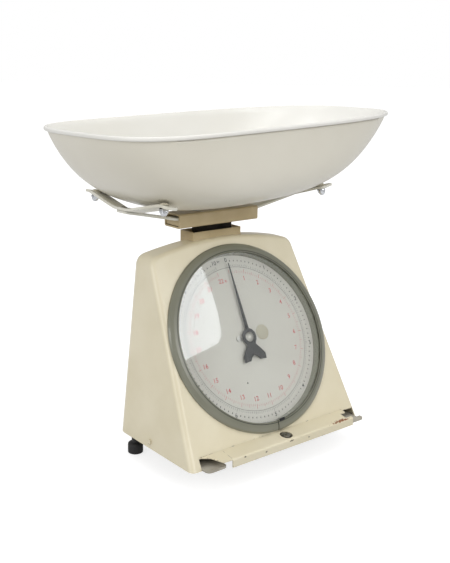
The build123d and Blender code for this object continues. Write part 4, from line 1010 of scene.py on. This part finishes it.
bm = bmesh.new()
bmesh.ops.create_cube(bm, size=1)
ends = [face for face in bm.faces if abs(face.normal.z) > 0.5]
bmesh.ops.delete(bm, geom=ends, context="FACES_ONLY")
bmesh.ops.scale(bm, verts=bm.verts, vec=COLLAR_HIGH - COLLAR_LOW)
upright = [edge for edge in bm.edges if abs(edge.verts[0].co.z - edge.verts[1].co.z) > MM]
round_off(bm, upright, COLLAR_ROUND, 4)
collar = new_piece(
    "square_collar", bm, finishes["tan_paint"], "housing",
    Matrix.Translation((COLLAR_LOW + COLLAR_HIGH) / 2),
)
wall = collar.modifiers.new("wall", "SOLIDIFY")
wall.thickness = COLLAR_WALL * MM
wall.offset = -1.0
smooth(collar)
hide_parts("neck_collar")

# %% [markdown]
# ## The scoop pan
# The pan is a deep-drawn shell. Its ends differ, its rim is a rounded oblong and
# its edge is rolled outwards. It could be sculpted from a bowl, but a formula gives
# the even curve of a press tool. A tube of unit radius is drawn ring by ring from
# the roll down to the belly, and then every ring is moved to its real outline.
# Solidify gives the sheet its wall last, with the outer enamel on its far face.

# %% The pan's rings
PAN_SPOT = Vector((-1, 62.3, 392.0)) * MM
PAN_ASKEW = 3.17
PAN_TILT = 1.77
PAN_DEEP = 94.6
PAN_SHEET = 1.5
# How far each side of the rim lies from the middle, and the two powers that shape
# its way in from the rim to the belly.
PAN_LEFT = (187.8, 1.295, 3.855)
PAN_RIGHT = (258.3, 1.215, 2.944)
PAN_SIDE = (116.1, 5.705, 2.134)
# The middle of a ring stands left of the pan's middle by this much at the rim, and
# no nearer the left end than this share of its reach.
RIM_OFFSET = 65.6
OFFSET_LIMIT = 0.9
# 2 makes a ring an ellipse, and more makes it squarer.
RIM_SQUARENESS = 3.4
SQUARENESS_LOST = 0.95
# The rolled edge, as steps (outwards, upwards) from the rim.
PAN_ROLL = (
    (1.2, -4.6), (1.9, -4.1), (2.2, -3.2), (2.2, -1.9), (1.9, -0.9), (1.3, -0.3), (0.5, -0.02),
    (-0.4, -0.02), (-1.0, -0.3), (-1.4, -0.9),
)
PAN_STEPS = 36

rings = [(0, spread, rise) for spread, rise in PAN_ROLL]
rings += [(1 - (1 - step / PAN_STEPS) ** 3, -PAN_SHEET, -PAN_SHEET) for step in range(1, PAN_STEPS)]


def pan_reach(side, share, spread):
    """How far that side lies from the middle at a share of the depth."""
    widest, fall, bend = side
    return widest * (1 - share ** fall) ** (1 / bend) + spread


def pan_point(share, spread, rise, turn):
    """Where a ring's point goes: share 0 is the rim and 1 the belly, turn is round the ring."""
    left = pan_reach(PAN_LEFT, share, spread)
    right = pan_reach(PAN_RIGHT, share, spread)
    middle = max(-RIM_OFFSET * (1 - share), -OFFSET_LIMIT * left)
    power = 2 / (RIM_SQUARENESS - SQUARENESS_LOST * share)
    end = right - middle if cos(turn) > 0 else left + middle
    along = copysign(abs(cos(turn)) ** power, cos(turn)) * end
    across = copysign(abs(sin(turn)) ** power, sin(turn)) * pan_reach(PAN_SIDE, share, spread)
    return Vector((middle + along, across, rise - PAN_DEEP * share)) * MM


# %% The pan's shell
bm = bmesh.new()
bmesh.ops.create_circle(bm, segments=160, radius=1)
edge_ring = bm.edges[:]
for _ in rings[1:]:
    grown = bmesh.ops.extrude_edge_only(bm, edges=edge_ring)
    moved = new_verts(grown)
    edge_ring = [part for part in grown["geom"] if isinstance(part, bmesh.types.BMEdge)]
    edge_ring = [edge for edge in edge_ring if all(vert in moved for vert in edge.verts)]
    bmesh.ops.translate(bm, verts=moved, vec=(0, 0, 1))
for vert in bm.verts:
    vert.co = pan_point(*rings[round(vert.co.z)], atan2(vert.co.y, vert.co.x))
last_ring = set(edge_ring)
last = [vert for vert in bm.verts if last_ring.intersection(vert.link_edges)]
belly = Vector((0, 0, -PAN_DEEP - PAN_SHEET)) * MM
bmesh.ops.pointmerge(bm, verts=last, merge_co=belly)
bmesh.ops.recalc_face_normals(bm, faces=bm.faces)
lowest = min(bm.faces, key=lambda face: face.calc_center_median().z)
if lowest.normal.z < 0:
    bmesh.ops.reverse_faces(bm, faces=bm.faces)
pan_place = (
    Matrix.Translation(PAN_SPOT)
    @ Matrix.Rotation(radians(PAN_ASKEW), 4, "Z")
    @ Matrix.Rotation(radians(-PAN_TILT), 4, "Y")
)
pan = new_piece("scoop_pan", bm, finishes["pan_enamel"], "scoop", pan_place)
pan.data.materials.append(PAN_OUTSIDE_SHADED)
sheet = pan.modifiers.new("sheet", "SOLIDIFY")
sheet.thickness = PAN_SHEET * MM
sheet.offset = -1.0
sheet.use_even_offset = True
sheet.material_offset = 1
sheet.material_offset_rim = 1
smooth(pan, 60)
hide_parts("pan")

# %% [markdown]
# ## Bolts, nuts and buffers
# A bolt stands through each arm's end with a pale buffer on top, on which the pan
# rests, and a chrome acorn nut below. Four typed heights would go wrong as soon as
# the pan or an arm moved. So rays read the pan's underside, and each buffer is just
# tall enough to reach it.

# %% Where the bolts stand
bolts = {}
for side, hand in HANDS.items():
    for end, end_name in ((-1, "front"), (1, "back")):
        on_arm = Matrix.Translation(Vector((0, end * BOLT_Y, arm_rise(side, BOLT_Y))) * MM)
        lean_in = Matrix.Rotation(end * radians(ARM_SLOPE[side]), 4, "X")
        bolts[f"{hand}_{end_name}"] = askew @ arm_places[side] @ on_arm @ lean_in

# %% Buffers
pan_surface = BVHTree.FromObject(pan, bpy.context.evaluated_depsgraph_get())
BUFFER_RADIUS = 4.6
BUFFER_FOOT = BUFFER_RADIUS + 0.6
BUFFER_GAP = 0.3
RAY_COUNT = 12
RAY_REACH = 60


def room_over(base):
    """The least height in mm between a buffer's foot and the pan above it."""
    upward = (base.to_3x3() @ Vector((0, 0, 1))).normalized()
    heights = []
    for step in range(RAY_COUNT):
        turn = 2 * pi * step / RAY_COUNT
        spot = Vector((BUFFER_RADIUS * cos(turn), BUFFER_RADIUS * sin(turn), 0)) * MM
        distance = pan_surface.ray_cast(base @ spot, upward, RAY_REACH * MM)[3]
        heights.append(distance / MM if distance else RAY_REACH)
    return min(heights)


for name, bolt_place in bolts.items():
    base = bolt_place @ Matrix.Translation((0, 0, STRAP_THICK * MM))
    top = room_over(base) - BUFFER_GAP
    print("buffer", name, "is", round(top, 1), "mm tall")
    outline = (
        (0, 0), (BUFFER_FOOT, 0), (BUFFER_FOOT, top * 0.3), (BUFFER_RADIUS, top * 0.6),
        (BUFFER_RADIUS * 0.8, top * 0.85), (BUFFER_RADIUS * 0.5, top * 0.97), (0, top),
    )
    buffer = new_piece(
        f"dome_{name}", turned(outline, 28), finishes["guide_nylon"], "platform", base
    )
    smooth(buffer, 60)
    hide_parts(f"buffer_{name}")

# %% Bolts and acorn nuts
BOLT_TOP = STRAP_THICK - 0.1
BOLT = ((0, -4.5), (2.5, -4.5), (2.5, BOLT_TOP), (0, BOLT_TOP))
bolt_shanks = new_piece(
    "plain_bolts", copies(turned(BOLT, 16), bolts.values()),
    finishes["bright_steel"], "platform",
)
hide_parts("buffer_studs")

WASHER_LOW = -1.1
WASHER = ((0, WASHER_LOW), (5.0, WASHER_LOW), (5.0, -0.05), (0, -0.05))
# Painted shade: dark washers between each strap and its nut stand for the shade in that gap.
shading_washers = new_piece(
    "shading_dark_washers", copies(turned(WASHER, 24), bolts.values()), DARK_STEEL_FOR_SHADE, "platform"
)
smooth(shading_washers)

# An acorn nut is a turned dome under a hexagon, which is a cone with six sides.
ACORN = ((0, -8.3), (1.4, -8.1), (2.7, -7.3), (3.7, -6.0), (4.2, -4.3), (4.2, -3.9), (0, -3.9))
NUT_CORNER = 5.2
NUT_DEEP = 4

nut = turned(ACORN, 28)
hexagon = bmesh.ops.create_cone(
    nut, cap_ends=True, segments=6, radius1=NUT_CORNER * MM, radius2=NUT_CORNER * MM,
    depth=NUT_DEEP * MM, matrix=Matrix.Translation((0, 0, -NUT_DEEP / 2 * MM)),
)
corners = set(hexagon["verts"])
round_off(nut, [edge for edge in nut.edges if corners.intersection(edge.verts)], 0.35, 2)
below_washer = Matrix.Translation((0, 0, WASHER_LOW * MM))
nut_places = [bolt_place @ below_washer for bolt_place in bolts.values()]
nuts = new_piece(
    "chrome_acorns", copies(nut, nut_places), finishes["chrome"], "platform"
)
smooth(nuts)
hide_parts("acorn_nuts")

# %% [markdown]
# ## The shelf's left corner
# At the left the shelf runs on to a slanted cut, and below it the base plate's ear
# fills most of the opening. Both are flat sheet, so each is one face that Solidify
# gives a wall: a box would need its slanted corners cut off again.

# %% Shelf corner and ear
def sheet_piece(name, corners, rounded, thickness, material):
    """A sheet from corners in mm, with its upper face on them and its corners rounded."""
    bm = bmesh.new()
    face = bm.faces.new([bm.verts.new(Vector(corner) * MM) for corner in corners])
    face.normal_update()
    if face.normal.z < 0:
        face.normal_flip()
    if rounded:
        round_off(bm, bm.verts[:], rounded, 5, "VERTICES")
    piece = new_piece(name, bm, material, "housing")
    plate = piece.modifiers.new("thickness", "SOLIDIFY")
    plate.thickness = thickness * MM
    plate.offset = -1.0
    return piece


SHELF_CORNER = (
    (-116.5, -69.4, 41.1), (-84, -69.2, 41.2), (-84, -89.6, 37.9), (-97, -89.3, 38.0), (-104.5, -76, 40.1),
)
EAR = ((-116.5, -86, 30.9), (-89.5, -86, 30.9), (-89.5, -61, 30.9), (-116.5, -61, 30.9))
sheet_piece("shelf_corner", SHELF_CORNER, 0, 1.1, finishes["cream_paint"])
sheet_piece("left_ear", EAR, 3, 0.8, ZINC)

# %% [markdown]
# ## The groove in the bezel
# A fine dark groove runs round the bezel near its inner edge. A groove can't be cut
# into a CAD node, whose mesh stays as it is. A dark ring stands for it on the
# bezel's own surface, painted shade for the groove's hollow: a ray reads the
# surface at the ring's two radii, and one short line is then spun right round.

# %% Bezel groove
GROOVE_RADII = (104.7, 105.4)
GROOVE_LIFT = 0.06
RAY_START = 40

bezel_mesh = frame["nodes"]["bezel_ring"].data
bezel_surface = BVHTree.FromPolygons(
    [vert.co for vert in bezel_mesh.vertices], [face.vertices[:] for face in bezel_mesh.polygons]
)


def height_on_bezel(radius):
    """How far out the bezel's surface lies at that radius, in mm from the dial's middle plane."""
    above = dial_place @ (Vector((radius, 0, RAY_START)) * MM)
    return RAY_START - bezel_surface.ray_cast(above, -dial_out)[3] / MM


# Painted shade: the black ring stands for the shade in the groove's hollow.
groove_shade = turned([(radius, height_on_bezel(radius) + GROOVE_LIFT) for radius in GROOVE_RADII], 180)
new_piece(
    "bezel_groove_shade", groove_shade, finishes["pointer_black"], "housing", dial_place
)

# %% [markdown]
# ## The bezel's spring clip and a pin
# A short black end of the clip that holds the glass shows at the bezel's split,
# and there is one small dark pin in the dial below its middle. The clip follows the
# bezel, so it is part of a turn: a spin that stops after a few degrees, and is then
# drawn up to its thickness.

# %% Clip and dial pin
CLIP_START, CLIP_END = 174.6, 178.6
CLIP_RADII = (101.6, 104.4)
CLIP_LIFT = Vector((0, 0, 13.0)) * MM
CLIP_THICK = 1.2

bm = bmesh.new()
ends = [bm.verts.new(on_ring(radius, CLIP_END) + CLIP_LIFT) for radius in CLIP_RADII]
line = bm.edges.new(ends)
clip_turn = radians(CLIP_END - CLIP_START)
bmesh.ops.spin(bm, geom=[*ends, line], axis=(0, 0, 1), cent=(0, 0, 0), angle=clip_turn, steps=6)
draw_up(bm, CLIP_THICK)
new_piece("spring_clip", bm, finishes["pointer_black"], "housing", dial_place)

DIAL_PIN = ((0, 0.6), (0.7, 0.5), (0.9, 0), (0, 0))
pin_place = dial_place @ Matrix.Translation(Vector((-18.4, -52, DIAL_FACE_OUT)) * MM)
new_piece(
    "dial_pin", turned(DIAL_PIN, 16), finishes["pointer_black"], "housing", pin_place
)

# %% [markdown]
# ## Floor, world and lamps
# The scale stands on a white floor that runs out of sight, in front of a white
# surround. More light would make both white too, but it would bleach the paint.
# So both are white only for what the camera sees directly and through glass, and
# the light itself is lower: a broad lamp in front and softer ones at the left and
# above.

# %% Floor
FLOOR_SEEN = 0.72
FLOOR_MIRRORED = 0.3


def seen_directly(tree, rays):
    """1 for what the camera sees, straight or through glass."""
    return reckon(tree, "MAXIMUM", rays["Is Camera Ray"], rays["Is Transmission Ray"])


floor_paint, tree, shader = finish(
    "floor_white", Base_Color=as_colour(0.5), Roughness=0.9, Emission_Color=as_colour(1)
)
rays = tree.nodes.new("ShaderNodeLightPath").outputs
shown = reckon(tree, "MULTIPLY", seen_directly(tree, rays), FLOOR_SEEN)
mirrored = reckon(tree, "MULTIPLY", rays["Is Glossy Ray"], FLOOR_MIRRORED)
tree.links.new(reckon(tree, "MAXIMUM", shown, mirrored), shader.inputs["Emission Strength"])

bm = bmesh.new()
bmesh.ops.create_circle(bm, cap_ends=True, segments=64, radius=14)
floor = mesh_object("floor", bm, floor_paint)
print("the floor shows at", FLOOR_SEEN)

# %% World
LIGHT_LEVEL = 0.7
MIRRORED_LEVEL = 0.5

world = bpy.data.worlds.new("studio")
scene.world = world
world.use_nodes = True
tree = world.node_tree
background = tree.nodes["Background"]
background.inputs["Color"].default_value = as_colour(1)
rays = tree.nodes.new("ShaderNodeLightPath").outputs
mirrored = reckon(tree, "MULTIPLY", rays["Is Glossy Ray"], MIRRORED_LEVEL - LIGHT_LEVEL)
lit = reckon(tree, "ADD", mirrored, LIGHT_LEVEL)
world_level = reckon(tree, "MAXIMUM", seen_directly(tree, rays), lit)
tree.links.new(world_level, background.inputs["Strength"])
print("world light", LIGHT_LEVEL)

# %% Lamps
def lamp(name, spot, aim, width, height, power):
    """A rectangular lamp at spot, turned to shine at aim."""
    data = bpy.data.lights.new(name, "AREA")
    data.shape = "RECTANGLE"
    data.size = width
    data.size_y = height
    data.energy = power
    holder = bpy.data.objects.new(name, data)
    scene.collection.objects.link(holder)
    direction = Vector(aim) - Vector(spot)
    facing = direction.to_track_quat("-Z", "Y").to_matrix().to_4x4()
    holder.matrix_world = Matrix.Translation(spot) @ facing
    print(name, "shines", power, "W from", tuple(spot))


MIDDLE = (0, 0, 0.2)
lamp("front_lamp", (0.1, -2.3, 1.35), MIDDLE, 1.1, 1.1, 15)
lamp("side_lamp", (-2.2, -0.4, 1.0), MIDDLE, 1.0, 1.4, 12)
lamp("top_lamp", (0.2, 0.2, 2.4), MIDDLE, 1.6, 1.6, 20)

# %% [markdown]
# ## The window in the glass
# The glass over the dial mirrors one corner of a bright window. The window could be
# drawn on the world, but a glowing sheet in its shape is simpler to place. Only
# reflections see it, so it lights nothing by itself. Its corner stands where the
# camera's line of sight goes on from the glass.

# %% The window
WINDOW_CORNER = Vector((0.851, -1.051, 0.767))
WINDOW_LEFT = Vector((-0.92, -0.39, -0.02)).normalized()
WINDOW_EDGE = (
    (-0.3, 0), (-0.02, 0), (-0.004, 0.008), (0.008, 0.03), (0.024, 0.08), (0.034, 0.14),
    (0.04, 0.2), (0.036, 0.27), (0.03, 0.32), (-0.3, 0.32),
)
WINDOW_GLOW = 4.8

window_out = (WINDOW_CORNER - DIAL_CENTRE).normalized()
window_right = (WINDOW_LEFT.dot(window_out) * window_out - WINDOW_LEFT).normalized()
window_up = window_out.cross(window_right)
window_glow, tree, shader = finish(
    "window_glow", Base_Color=as_colour(0), Roughness=1.0,
    Emission_Color=(0.93, 0.96, 1, 1), Emission_Strength=WINDOW_GLOW,
)
bm = bmesh.new()
bm.faces.new([
    bm.verts.new(WINDOW_CORNER + window_right * along + window_up * above) for along, above in WINDOW_EDGE
])
window = mesh_object("bright_window", bm, window_glow)
window.visible_diffuse = False
window.visible_camera = False
window.visible_shadow = False
print("the window glows at", WINDOW_GLOW)
